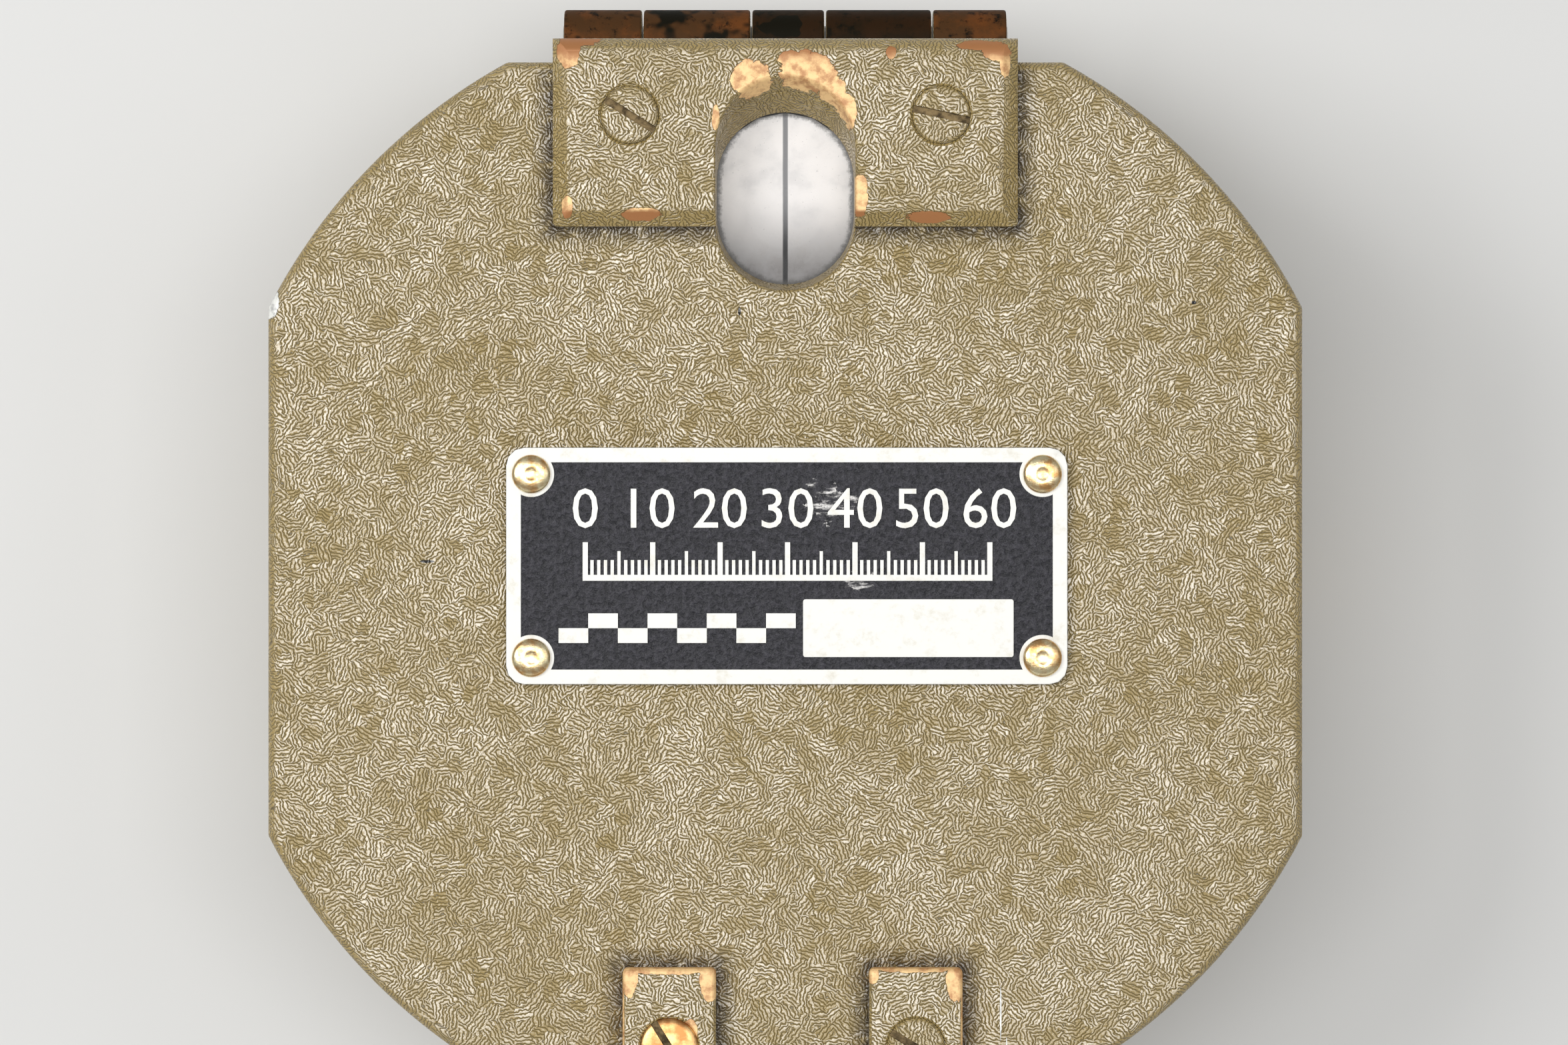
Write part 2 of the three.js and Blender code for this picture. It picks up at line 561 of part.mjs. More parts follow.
// A solid through rings of points at rising heights, each ring anticlockwise
function loft(sections) {
  const rings = sections.map(([points]) => {
    const closed = points[0].distanceTo(points[points.length - 1]) < WELD_DISTANCE;
    return closed ? points.slice(0, -1) : points;
  });
  const count = rings[0].length;
  const positions = [];
  rings.forEach((ring, level) => ring.forEach((p) => positions.push(p.x, p.y, sections[level][1])));
  const indices = [];
  for (let level = 0; level + 1 < rings.length; level += 1) {
    for (let i = 0; i < count; i += 1) {
      const [a, b] = [level * count + i, level * count + (i + 1) % count];
      indices.push(a, b, b + count, a, b + count, a + count);
    }
  }
  const faces = THREE.ShapeUtils.triangulateShape(rings[0], []);
  const top = (rings.length - 1) * count;
  for (const [a, b, c] of faces) {
    indices.push(c, b, a, top + a, top + b, top + c);
  }
  const geometry = new THREE.BufferGeometry();
  geometry.setAttribute("position", new THREE.Float32BufferAttribute(positions, 3));
  geometry.setIndex(indices);
  return solidOf(geometry);
}

// Where each knuckle of the cover hinge starts and ends along X
const KNUCKLE_SPANS = KNUCKLE_WIDTHS.map((width, i) => {
  const before = KNUCKLE_WIDTHS.slice(0, i).reduce((sum, w) => sum + w, 0);
  const start = before - KNUCKLE_WIDTHS.reduce((sum, w) => sum + w, 0) / 2;
  return [start, start + width];
});
const KNUCKLES_START = KNUCKLE_SPANS[0][0];
const KNUCKLES_END = KNUCKLE_SPANS[KNUCKLE_SPANS.length - 1][1];

// Barrel along X with its pin hole to be cut later, and the room that a neighbour's barrel needs
function knuckleRoom(span, pinZ) {
  const reach = HINGE_BARREL_RADIUS + SWING_GAP;
  const wall = HALF_LENGTH - OVERRUN;
  return block(span[0] - KNUCKLE_GAP / 2, span[1] + KNUCKLE_GAP / 2, wall, HINGE_REACH + OVERRUN,
    pinZ - reach, pinZ + reach);
}

// Bent strap over an edge: flat top, rounded bend, leg down to the pin. Side is 1 at +Y, -1 at -Y
function strapShape(side, innerEnd, underside, thickness, legThickness, pinZ) {
  const wall = HALF_LENGTH + SEAT_GAP;
  const face = wall + legThickness;
  const top = underside + thickness;
  const shape = new THREE.Shape();
  shape.moveTo(side * innerEnd, underside);
  shape.lineTo(side * innerEnd, top);
  shape.lineTo(side * (face - thickness), top);
  shape.quadraticCurveTo(side * face, top, side * face, top - thickness);
  shape.lineTo(side * face, pinZ);
  shape.lineTo(side * wall, pinZ);
  shape.lineTo(side * wall, underside);
  shape.closePath();
  return shape;
}

function cover() {
  const shell = caseBlock(RIM_GAP, COVER_HEIGHT, COVER_EDGE, true);
  const hollow = disc(COVER_HOLLOW_RADIUS, -OVERRUN, COVER_HEIGHT - COVER_ROOF);
  const notch = block(-NOTCH_HALF_WIDTH, NOTCH_HALF_WIDTH, -HALF_LENGTH - OVERRUN, -HALF_LENGTH / 2,
    -OVERRUN, NOTCH_HEIGHT);
  const sight = sightHole(COVER_HEIGHT - COVER_ROOF - OVERRUN, COVER_HEIGHT + OVERRUN);
  const holes = [];
  const leafLow = LEAF_TOP - SCREW_SEAT_DEPTH - SCREW_REACH;
  for (const x of [-LEAF_SCREW_X, LEAF_SCREW_X]) {
    holes.push(discAt(x, LEAF_SCREW_Y, SCREW_HOLE_RADIUS, leafLow, COVER_HEIGHT + OVERRUN));
  }
  const bracketLow = COVER_HEIGHT + SEAT_GAP + BRACKET_THICKNESS - SCREW_SEAT_DEPTH - SCREW_REACH;
  for (const x of [BRACKET_LEFT_X, BRACKET_RIGHT_X]) {
    holes.push(discAt(x, -BRACKET_SCREW_Y, SCREW_HOLE_RADIUS, bracketLow, COVER_HEIGHT + OVERRUN));
  }
  const rivetReach = COVER_HEIGHT + SEAT_GAP + PLATE_THICKNESS - RIVET_SHANK_LENGTH;
  for (const [x, y] of rivetPlaces()) {
    holes.push(discAt(x, y, RIVET_SHANK_RADIUS + HOLE_GAP, rivetReach, COVER_HEIGHT + OVERRUN));
  }
  return piece("cover", cut(shell, hollow, notch, sight, ...holes), olivePaint);
}

function coverHingeLeaf() {
  const underside = COVER_HEIGHT + SEAT_GAP;
  const strap = strip(strapShape(1, LEAF_INNER_END, underside, LEAF_THICKNESS, LEAF_LEG_THICKNESS, 0),
    -LEAF_WIDTH / 2, LEAF_WIDTH / 2);
  const beyond = HINGE_REACH + OVERRUN + LEAF_BEVEL;
  const halfWidth = LEAF_WIDTH / 2;
  const plan = outline([
    [-halfWidth, LEAF_INNER_END],
    [halfWidth, LEAF_INNER_END],
    [halfWidth, beyond],
    [-halfWidth, beyond],
  ]);
  const envelope = softSlab(plan, -HINGE_REACH, LEAF_TOP, LEAF_BEVEL, LEAF_BEVEL_DROP, EDGE_STEPS);
  const barrel = rodX(HINGE_BARREL_RADIUS, KNUCKLES_START, KNUCKLES_END, HINGE_PIN_Y, 0, MEDIUM_STEPS);
  const bore = rodX(HINGE_PIN_RADIUS + HOLE_GAP, -LEAF_WIDTH, LEAF_WIDTH, HINGE_PIN_Y, 0);
  const rooms = [1, 3].map((i) => knuckleRoom(KNUCKLE_SPANS[i], 0));
  const sight = sightHole(COVER_HEIGHT - OVERRUN, LEAF_TOP + OVERRUN);
  const seats = [-LEAF_SCREW_X, LEAF_SCREW_X].flatMap((x) => [
    discAt(x, LEAF_SCREW_Y, SCREW_SEAT_RADIUS, LEAF_TOP - SCREW_SEAT_DEPTH, LEAF_TOP + OVERRUN, MEDIUM_STEPS),
    discAt(x, LEAF_SCREW_Y, SCREW_HOLE_RADIUS, underside - OVERRUN, LEAF_TOP),
  ]);
  const blank = join(strap.intersect(envelope), barrel);
  return piece("cover_hinge_leaf", cut(blank, bore, ...rooms, sight, ...seats), brass);
}

function mirrorPieces() {
  const glass = piece("mirror", disc(MIRROR_RADIUS, MIRROR_LOW, MIRROR_TOP), silvered);
  const backingLow = MIRROR_TOP + SEAT_GAP;
  const backingTop = backingLow + MIRROR_BACKING_THICKNESS;
  const backing = cut(disc(MIRROR_RADIUS, backingLow, backingTop),
    sightHole(backingLow - OVERRUN, backingTop + OVERRUN, BACKING_MARGIN));
  const ringTop = MIRROR_LOW - SEAT_GAP;
  const ringLow = ringTop - MIRROR_RING_THICKNESS;
  const ring = cut(washer(MIRROR_RING_RADIUS - MIRROR_RING_WIDTH, MIRROR_RING_RADIUS, ringLow, ringTop),
    block(-NOTCH_HALF_WIDTH, NOTCH_HALF_WIDTH, -HALF_LENGTH, 0, 0, COVER_HEIGHT));
  return [glass, piece("mirror_backing", backing, blackPaint), piece("mirror_retaining_ring", ring, steel)];
}

function rivetPlaces() {
  const places = [];
  for (const side of [-1, 1]) {
    for (const end of [-1, 1]) places.push([PLATE_X + side * RIVET_X, PLATE_Y + end * RIVET_Y]);
  }
  return places;
}

function dataPlate() {
  const low = COVER_HEIGHT + SEAT_GAP;
  const top = low + PLATE_THICKNESS;
  const rectangle = roundedRectangle(PLATE_X - PLATE_LENGTH / 2, PLATE_X + PLATE_LENGTH / 2,
    PLATE_Y - PLATE_WIDTH / 2, PLATE_Y + PLATE_WIDTH / 2, PLATE_CORNER);
  const holes = rivetPlaces().map(([x, y]) =>
    discAt(x, y, RIVET_SHANK_RADIUS + HOLE_GAP, low - OVERRUN, top + OVERRUN));
  return piece("data_plate", cut(slab(rectangle, low, top), ...holes), blackPaint);
}

function rivets() {
  const seat = COVER_HEIGHT + 2 * SEAT_GAP + PLATE_THICKNESS;
  return rivetPlaces().map(([x, y], i) => {
    const shankLow = SEAT_GAP - RIVET_SHANK_LENGTH + HOLE_GAP;
    const profile = [[0, shankLow], [RIVET_SHANK_RADIUS, shankLow]];
    profile.push([RIVET_SHANK_RADIUS, 0], [RIVET_RADIUS, 0]);
    for (let k = 1; k <= EDGE_STEPS; k += 1) {
      const angle = k / EDGE_STEPS * Math.PI / 2;
      profile.push([RIVET_RADIUS * Math.cos(angle), RIVET_HEIGHT * Math.sin(angle)]);
    }
    profile[profile.length - 1][0] = 0;
    const rivet = piece(`data_plate_rivet_${i + 1}`, turned(profile, SMALL_STEPS), brass);
    rivet.position.set(x, y, seat);
    return rivet;
  });
}

function frontSightBracket(name, centreX) {
  const underside = COVER_HEIGHT + SEAT_GAP;
  const top = underside + BRACKET_THICKNESS;
  const [x0, x1] = [centreX - BRACKET_WIDTH / 2, centreX + BRACKET_WIDTH / 2];
  const shape = strapShape(-1, BRACKET_INNER_END, underside, BRACKET_THICKNESS, BRACKET_LEG_THICKNESS,
    FRONT_PIN_HEIGHT);
  const barrel = rodX(FRONT_BARREL_RADIUS, x0, x1, FRONT_PIN_Y, FRONT_PIN_HEIGHT, MEDIUM_STEPS);
  const beyond = FRONT_REACH - OVERRUN;
  const plan = outline([[x0, beyond], [x1, beyond], [x1, -BRACKET_INNER_END], [x0, -BRACKET_INNER_END]]);
  const envelope = softSlab(plan, -top, top, BRACKET_EDGE, BRACKET_EDGE);
  const bore = rodX(FRONT_PIN_RADIUS + HOLE_GAP, x0 - OVERRUN, x1 + OVERRUN, FRONT_PIN_Y, FRONT_PIN_HEIGHT);
  const seatLow = top - SCREW_SEAT_DEPTH;
  const seat = discAt(centreX, -BRACKET_SCREW_Y, SCREW_SEAT_RADIUS, seatLow, top + OVERRUN, MEDIUM_STEPS);
  const hole = discAt(centreX, -BRACKET_SCREW_Y, SCREW_HOLE_RADIUS, underside - OVERRUN, top);
  const blank = join(strip(shape, x0, x1), barrel).intersect(envelope);
  return piece(name, cut(blank, bore, seat, hole), brass);
}

function coverScrews() {
  const [leafLeft, leafRight] = COVER_LEAF_SLOT_DEGREES;
  const [bracketLeft, bracketRight] = BRACKET_SLOT_DEGREES;
  const leafSeat = LEAF_TOP - SCREW_SEAT_DEPTH + SEAT_GAP;
  const bracketSeat = COVER_HEIGHT + 2 * SEAT_GAP + BRACKET_THICKNESS - SCREW_SEAT_DEPTH;
  const places = [
    ["cover_hinge_screw_left", leafLeft, -LEAF_SCREW_X, LEAF_SCREW_Y, leafSeat],
    ["cover_hinge_screw_right", leafRight, LEAF_SCREW_X, LEAF_SCREW_Y, leafSeat],
    ["front_sight_bracket_screw_left", bracketLeft, BRACKET_LEFT_X, -BRACKET_SCREW_Y, bracketSeat],
    ["front_sight_bracket_screw_right", bracketRight, BRACKET_RIGHT_X, -BRACKET_SCREW_Y, bracketSeat],
  ];
  return places.map(([name, slotAngle, x, y, z]) => {
    const part = screw(name, slotAngle);
    part.position.set(x, y, z);
    return part;
  });
}

// Ends of the front sight's knuckle, between the two brackets
const FRONT_KNUCKLE_START = BRACKET_LEFT_X + BRACKET_WIDTH / 2 + HOLE_GAP;
const FRONT_KNUCKLE_END = BRACKET_RIGHT_X - BRACKET_WIDTH / 2 - HOLE_GAP;

function frontSightPin() {
  const [x0, x1] = [BRACKET_LEFT_X - BRACKET_WIDTH / 2, BRACKET_RIGHT_X + BRACKET_WIDTH / 2];
  return piece("front_sight_pin", rodX(FRONT_PIN_RADIUS, x0, x1, FRONT_PIN_Y, FRONT_PIN_HEIGHT), steel);
}

// Folding leaf: a plate that narrows to the tip, with a long window and a peep hole
function frontSight() {
  const middle = (FRONT_KNUCKLE_START + FRONT_KNUCKLE_END) / 2;
  const half = FRONT_LEAF_WIDTH / 2;
  const tipHalf = FRONT_TIP_WIDTH / 2;
  const shoulderY = FRONT_PIN_Y + FRONT_WINDOW_END;
  const peepY = FRONT_PIN_Y + FRONT_PEEP_AT;
  const tipY = FRONT_PIN_Y + FRONT_LEAF_LENGTH;
  const plan = new THREE.Shape();
  plan.moveTo(middle - half, FRONT_PIN_Y);
  plan.lineTo(middle + half, FRONT_PIN_Y);
  plan.lineTo(middle + half, shoulderY - half);
  plan.quadraticCurveTo(middle + half, shoulderY, middle + tipHalf, peepY);
  plan.quadraticCurveTo(middle + tipHalf, tipY, middle, tipY);
  plan.quadraticCurveTo(middle - tipHalf, tipY, middle - tipHalf, peepY);
  plan.quadraticCurveTo(middle - half, shoulderY, middle - half, shoulderY - half);
  plan.closePath();
  const low = FRONT_PIN_HEIGHT - FRONT_LEAF_BELOW_PIN;
  const high = low + FRONT_LEAF_THICKNESS;
  const leaf = slab(plan, low, high);
  const windowPlan = roundEnded(middle, FRONT_WINDOW_WIDTH, FRONT_PIN_Y + FRONT_WINDOW_START, shoulderY);
  const window = slab(windowPlan, low - OVERRUN, high + OVERRUN);
  const peep = discAt(middle, peepY, FRONT_PEEP_RADIUS, low - OVERRUN, high + OVERRUN);
  const barrel = rodX(FRONT_BARREL_RADIUS, FRONT_KNUCKLE_START, FRONT_KNUCKLE_END,
    FRONT_PIN_Y, FRONT_PIN_HEIGHT, MEDIUM_STEPS);
  const bore = rodX(FRONT_PIN_RADIUS + HOLE_GAP, BRACKET_LEFT_X, BRACKET_RIGHT_X,
    FRONT_PIN_Y, FRONT_PIN_HEIGHT);
  return piece("front_sight", cut(join(leaf, barrel), window, peep, bore), blackPaint);
}

// Corner cuts of the body for the lifter: slot for the lever, bore for the pin, pocket for the spring
function lifterCuts() {
  const turn = (solidGeometry) => solidOf(solidGeometry.rotateZ(LIFTER_RADIANS));
  const slotHalf = LIFTING_LEVER_WIDTH / 2 + SLOT_SIDE_GAP;
  const slotLow = LIFTING_LEVER_Z - LIFT_TRAVEL;
  const slotHigh = LIFTING_LEVER_TOP + LIFT_TRAVEL + SWING_GAP;
  const end = LIFTING_LEVER_END + SLOT_SIDE_GAP;
  const slot = new THREE.BoxGeometry(end - ELEVATION_OUTER_RADIUS, 2 * slotHalf, slotHigh - slotLow);
  slot.translate((end + ELEVATION_OUTER_RADIUS) / 2, 0, (slotHigh + slotLow) / 2);
  const notchEnd = SCALE_SEAT_RADIUS + SWING_GAP;
  const notch = new THREE.BoxGeometry(notchEnd - ELEVATION_OUTER_RADIUS, 2 * slotHalf, SCALE_LOW - slotLow);
  notch.translate((notchEnd + ELEVATION_OUTER_RADIUS) / 2, 0, (SCALE_LOW + slotLow) / 2);
  const pinRadius = LIFTER_PIN_RADIUS + HOLE_GAP;
  const pin = turnedGeometry([[0, slotLow], [pinRadius, slotLow], [pinRadius, BODY_HEIGHT + OVERRUN],
    [0, BODY_HEIGHT + OVERRUN]], SMALL_STEPS).translate(LIFTER_PIN_AT, 0, 0);
  const pocketRadius = SPRING_RADIUS + SPRING_WIRE_RADIUS + SPRING_POCKET_GAP;
  const pocketLow = SPRING_LOW - SPRING_WIRE_RADIUS - HOLE_GAP;
  const pocket = turnedGeometry([[0, pocketLow], [pocketRadius, pocketLow], [pocketRadius, LIFTING_LEVER_Z],
    [0, LIFTING_LEVER_Z]], SMALL_STEPS).translate(LIFTER_PIN_AT, 0, 0);
  return [slot, notch, pin, pocket].map(turn);
}

function compassBody() {
  const shell = caseBlock(0, BODY_HEIGHT, BODY_EDGE, false);
  const bowl = turned([
    [0, FLOOR_TOP],
    [BOWL_RADIUS, FLOOR_TOP],
    [BOWL_RADIUS, SCALE_LEDGE_HEIGHT],
    [SCALE_SEAT_RADIUS, SCALE_LEDGE_HEIGHT],
    [SCALE_SEAT_RADIUS, WINDOW_LEDGE_HEIGHT],
    [WINDOW_SEAT_RADIUS, WINDOW_LEDGE_HEIGHT],
    [WINDOW_SEAT_RADIUS, BODY_HEIGHT + OVERRUN],
    [0, BODY_HEIGHT + OVERRUN],
  ]);
  const recess = disc(BACK_RECESS_RADIUS, -OVERRUN, BACK_RECESS_DEPTH);
  const shaftHole = disc(SHAFT_RADIUS + HOLE_GAP, 0, FLOOR_TOP + OVERRUN, SMALL_STEPS);
  const bushingHole = rodX(BUSHING_RADIUS + SEAT_GAP, BOWL_RADIUS - OVERRUN, HALF_WIDTH,
    0, PINION_Z, MEDIUM_STEPS);
  const headSeat = rodX(ADJUSTER_HEAD_RADIUS + HOLE_GAP, HALF_WIDTH - ADJUSTER_HEAD_THICKNESS - SEAT_GAP,
    HALF_WIDTH + OVERRUN, 0, PINION_Z, MEDIUM_STEPS);
  const holes = [];
  const leafHoleEnd = HALF_LENGTH + LEAF_LEG_THICKNESS - SCREW_SEAT_DEPTH - SCREW_REACH;
  for (const x of [-LEAF_SCREW_X, LEAF_SCREW_X]) {
    holes.push(rodY(SCREW_HOLE_RADIUS, leafHoleEnd, HALF_LENGTH + OVERRUN, x, BODY_LEAF_SCREW_Z));
  }
  const rearHoleEnd = SCREW_SEAT_DEPTH + SCREW_REACH - HALF_LENGTH - REAR_PLATE_THICKNESS;
  for (const x of [-REAR_SCREW_X, REAR_SCREW_X]) {
    holes.push(rodY(SCREW_HOLE_RADIUS, -HALF_LENGTH - OVERRUN, rearHoleEnd, x, REAR_SCREW_Z));
  }
  const body = cut(shell, bowl, recess, shaftHole, bushingHole, headSeat, ...holes, ...lifterCuts());
  return piece("compass_body", body, olivePaint);
}

// The body's leaf stands against the end wall, with the knuckles between the cover's
function bodyHingeLeaf() {
  const wall = HALF_LENGTH + SEAT_GAP;
  const face = wall + LEAF_LEG_THICKNESS;
  const shape = new THREE.Shape();
  shape.moveTo(wall, LEAF_LOWER_END);
  shape.lineTo(face - LEAF_BEVEL_DROP, LEAF_LOWER_END);
  shape.lineTo(face, LEAF_LOWER_END + LEAF_BEVEL_DROP);
  shape.lineTo(face, BODY_HEIGHT);
  shape.lineTo(wall, BODY_HEIGHT);
  shape.closePath();
  const plate = strip(shape, KNUCKLES_START, KNUCKLES_END);
  const barrel = rodX(HINGE_BARREL_RADIUS, KNUCKLES_START, KNUCKLES_END,
    HINGE_PIN_Y, BODY_HEIGHT, MEDIUM_STEPS);
  const bore = rodX(HINGE_PIN_RADIUS + HOLE_GAP, -LEAF_WIDTH, LEAF_WIDTH, HINGE_PIN_Y, BODY_HEIGHT);
  const rooms = [0, 2, 4].map((i) => knuckleRoom(KNUCKLE_SPANS[i], BODY_HEIGHT));
  const ends = [-1, 1].map((side) => {
    const outer = side * LEAF_WIDTH;
    const inner = side > 0 ? KNUCKLES_END : KNUCKLES_START;
    const [x0, x1] = [Math.min(inner, outer), Math.max(inner, outer)];
    return block(x0, x1, wall - OVERRUN, HINGE_REACH + OVERRUN, 0, BODY_HEIGHT);
  });
  const seats = [-LEAF_SCREW_X, LEAF_SCREW_X].flatMap((x) => [
    rodY(SCREW_SEAT_RADIUS, face - SCREW_SEAT_DEPTH, face + OVERRUN, x, BODY_LEAF_SCREW_Z, MEDIUM_STEPS),
    rodY(SCREW_HOLE_RADIUS, wall - OVERRUN, face, x, BODY_LEAF_SCREW_Z),
  ]);
  return piece("body_hinge_leaf", cut(join(plate, barrel), bore, ...rooms, ...ends, ...seats), brass);
}

// Screws in the end walls: the head points away from the case
function wallScrews() {
  const [leafLeft, leafRight] = BODY_LEAF_SLOT_DEGREES;
  const [rearLeft, rearRight] = REAR_BRACKET_SLOT_DEGREES;
  const leafSeat = HALF_LENGTH + 2 * SEAT_GAP + LEAF_LEG_THICKNESS - SCREW_SEAT_DEPTH;
  const rearSeat = HALF_LENGTH + 2 * SEAT_GAP + REAR_PLATE_THICKNESS - SCREW_SEAT_DEPTH;
  const places = [
    ["body_hinge_screw_left", leafLeft, -LEAF_SCREW_X, 1, leafSeat, BODY_LEAF_SCREW_Z],
    ["body_hinge_screw_right", leafRight, LEAF_SCREW_X, 1, leafSeat, BODY_LEAF_SCREW_Z],
    ["rear_sight_bracket_screw_left", rearLeft, -REAR_SCREW_X, -1, rearSeat, REAR_SCREW_Z],
    ["rear_sight_bracket_screw_right", rearRight, REAR_SCREW_X, -1, rearSeat, REAR_SCREW_Z],
  ];
  return places.map(([name, slotAngle, x, side, y, z]) => {
    const part = screw(name, slotAngle);
    part.rotation.x = -side * Math.PI / 2;
    part.position.set(x, side * y, z);
    return part;
  });
}

function coverHingePin() {
  const pin = rodX(HINGE_PIN_RADIUS, KNUCKLES_START, KNUCKLES_END, HINGE_PIN_Y, BODY_HEIGHT);
  return piece("cover_hinge_pin", pin, steel);
}

function rearSightBracket() {
  const wall = -HALF_LENGTH - SEAT_GAP;
  const face = wall - REAR_PLATE_THICKNESS;
  const pinZ = BODY_HEIGHT + REAR_PIN_HEIGHT;
  const plateShape = roundedRectangle(-REAR_PLATE_WIDTH / 2, REAR_PLATE_WIDTH / 2,
    REAR_PLATE_LOW, REAR_PLATE_HIGH, REAR_PLATE_CORNER);
  const plateGeometry = extruded(plateShape, REAR_PLATE_THICKNESS).rotateX(Math.PI / 2);
  const plate = solidOf(plateGeometry.translate(0, wall, 0));
  const ears = [-1, 1].map((side) => {
    const inner = REAR_KNUCKLE_WIDTH / 2 + HOLE_GAP;
    const [x0, x1] = side > 0 ? [inner, inner + REAR_EAR_THICKNESS] : [-inner - REAR_EAR_THICKNESS, -inner];
    const web = outline([
      [wall, REAR_PLATE_LOW + REAR_PLATE_CORNER],
      [face, REAR_PLATE_LOW + REAR_PLATE_CORNER],
      [REAR_PIN_Y - REAR_BARREL_RADIUS, pinZ],
      [REAR_PIN_Y + REAR_BARREL_RADIUS, pinZ],
      [wall, REAR_PLATE_HIGH],
    ]);
    return join(strip(web, x0, x1), rodX(REAR_BARREL_RADIUS, x0, x1, REAR_PIN_Y, pinZ, MEDIUM_STEPS));
  });
  const seats = [-REAR_SCREW_X, REAR_SCREW_X].flatMap((x) => [
    rodY(SCREW_SEAT_RADIUS, face - OVERRUN, face + SCREW_SEAT_DEPTH, x, REAR_SCREW_Z, MEDIUM_STEPS),
    rodY(SCREW_HOLE_RADIUS, face, wall + OVERRUN, x, REAR_SCREW_Z),
  ]);
  const bore = rodX(REAR_PIN_RADIUS + HOLE_GAP, -REAR_PLATE_WIDTH, REAR_PLATE_WIDTH, REAR_PIN_Y, pinZ);
  return piece("rear_sight_bracket", cut(join(plate, ...ears), bore, ...seats), brass);
}

function rearSightHingePin() {
  const half = REAR_KNUCKLE_WIDTH / 2 + HOLE_GAP + REAR_EAR_THICKNESS;
  const pin = rodX(REAR_PIN_RADIUS, -half, half, REAR_PIN_Y, BODY_HEIGHT + REAR_PIN_HEIGHT);
  return piece("rear_sight_hinge_pin", pin, steel);
}

// Where the rear arm ends and where its small leaf turns
const ARM_TIP_Y = REAR_PIN_Y + ARM_LENGTH;
const PEEP_PIN_Y = ARM_TIP_Y - PEEP_PIN_FROM_TIP;
const ARM_LOW = BODY_HEIGHT + ARM_RISE;
const PEEP_PIN_Z = ARM_LOW + ARM_THICKNESS / 2;

// Long arm over the window: knuckle, neck, slotted bar and a fork for the small leaf
function rearSightHolder() {
  const neck = REAR_KNUCKLE_WIDTH / 2;
  const half = ARM_WIDTH / 2;
  const shoulder = REAR_PIN_Y + ARM_NECK_LENGTH;
  const plan = new THREE.Shape();
  plan.moveTo(-neck, REAR_PIN_Y);
  plan.lineTo(neck, REAR_PIN_Y);
  plan.lineTo(neck, shoulder);
  plan.quadraticCurveTo(half, shoulder, half, shoulder + half - neck);
  plan.absarc(half - ARM_TIP_CORNER, ARM_TIP_Y - ARM_TIP_CORNER, ARM_TIP_CORNER, 0, Math.PI / 2);
  plan.absarc(ARM_TIP_CORNER - half, ARM_TIP_Y - ARM_TIP_CORNER, ARM_TIP_CORNER, Math.PI / 2, Math.PI);
  plan.lineTo(-half, shoulder + half - neck);
  plan.quadraticCurveTo(-half, shoulder, -neck, shoulder);
  plan.closePath();
  const pinZ = BODY_HEIGHT + REAR_PIN_HEIGHT;
  const bar = slab(plan, ARM_LOW, ARM_LOW + ARM_THICKNESS);
  const barrel = rodX(REAR_BARREL_RADIUS, -neck, neck, REAR_PIN_Y, pinZ, MEDIUM_STEPS);
  const slot = slab(roundEnded(0, ARM_SLOT_WIDTH, REAR_PIN_Y + ARM_SLOT_START, REAR_PIN_Y + ARM_SLOT_END),
    ARM_LOW - OVERRUN, ARM_LOW + ARM_THICKNESS + OVERRUN);
  const fork = block(-FORK_WIDTH / 2, FORK_WIDTH / 2, ARM_TIP_Y - FORK_LENGTH, ARM_TIP_Y + OVERRUN,
    ARM_LOW - OVERRUN, ARM_LOW + ARM_THICKNESS + OVERRUN);
  const pinBore = rodX(PEEP_PIN_RADIUS + HOLE_GAP, -ARM_WIDTH, ARM_WIDTH, PEEP_PIN_Y, PEEP_PIN_Z);
  const bore = rodX(REAR_PIN_RADIUS + HOLE_GAP, -ARM_WIDTH, ARM_WIDTH, REAR_PIN_Y, pinZ);
  return piece("rear_sight_holder", cut(join(bar, barrel), slot, fork, pinBore, bore), blackPaint);
}

function rearSightLeafPin() {
  const half = ARM_WIDTH / 2 - HOLE_GAP;
  return piece("rear_sight_leaf_pin", rodX(PEEP_PIN_RADIUS, -half, half, PEEP_PIN_Y, PEEP_PIN_Z), steel);
}

function rearSightLeaf() {
  const half = PEEP_LEAF_WIDTH / 2;
  const end = PEEP_PIN_Y - PEEP_LEAF_LENGTH;
  const low = PEEP_PIN_Z - PEEP_LEAF_THICKNESS / 2;
  const high = PEEP_PIN_Z + PEEP_LEAF_THICKNESS / 2;
  const plan = new THREE.Shape();
  plan.moveTo(half, PEEP_PIN_Y);
  plan.lineTo(-half, PEEP_PIN_Y);
  plan.absarc(0, end + half, half, Math.PI, Math.PI * 2);
  plan.closePath();
  const barrel = rodX(PEEP_BARREL_RADIUS, -half, half, PEEP_PIN_Y, PEEP_PIN_Z);
  const bore = rodX(PEEP_PIN_RADIUS + HOLE_GAP, -ARM_WIDTH, ARM_WIDTH, PEEP_PIN_Y, PEEP_PIN_Z);
  const peep = discAt(0, end + PEEP_HOLE_FROM_END, PEEP_HOLE_RADIUS, low - OVERRUN, high + OVERRUN);
  return piece("rear_sight_leaf", cut(join(slab(plan, low, high), barrel), bore, peep), blackPaint);
}

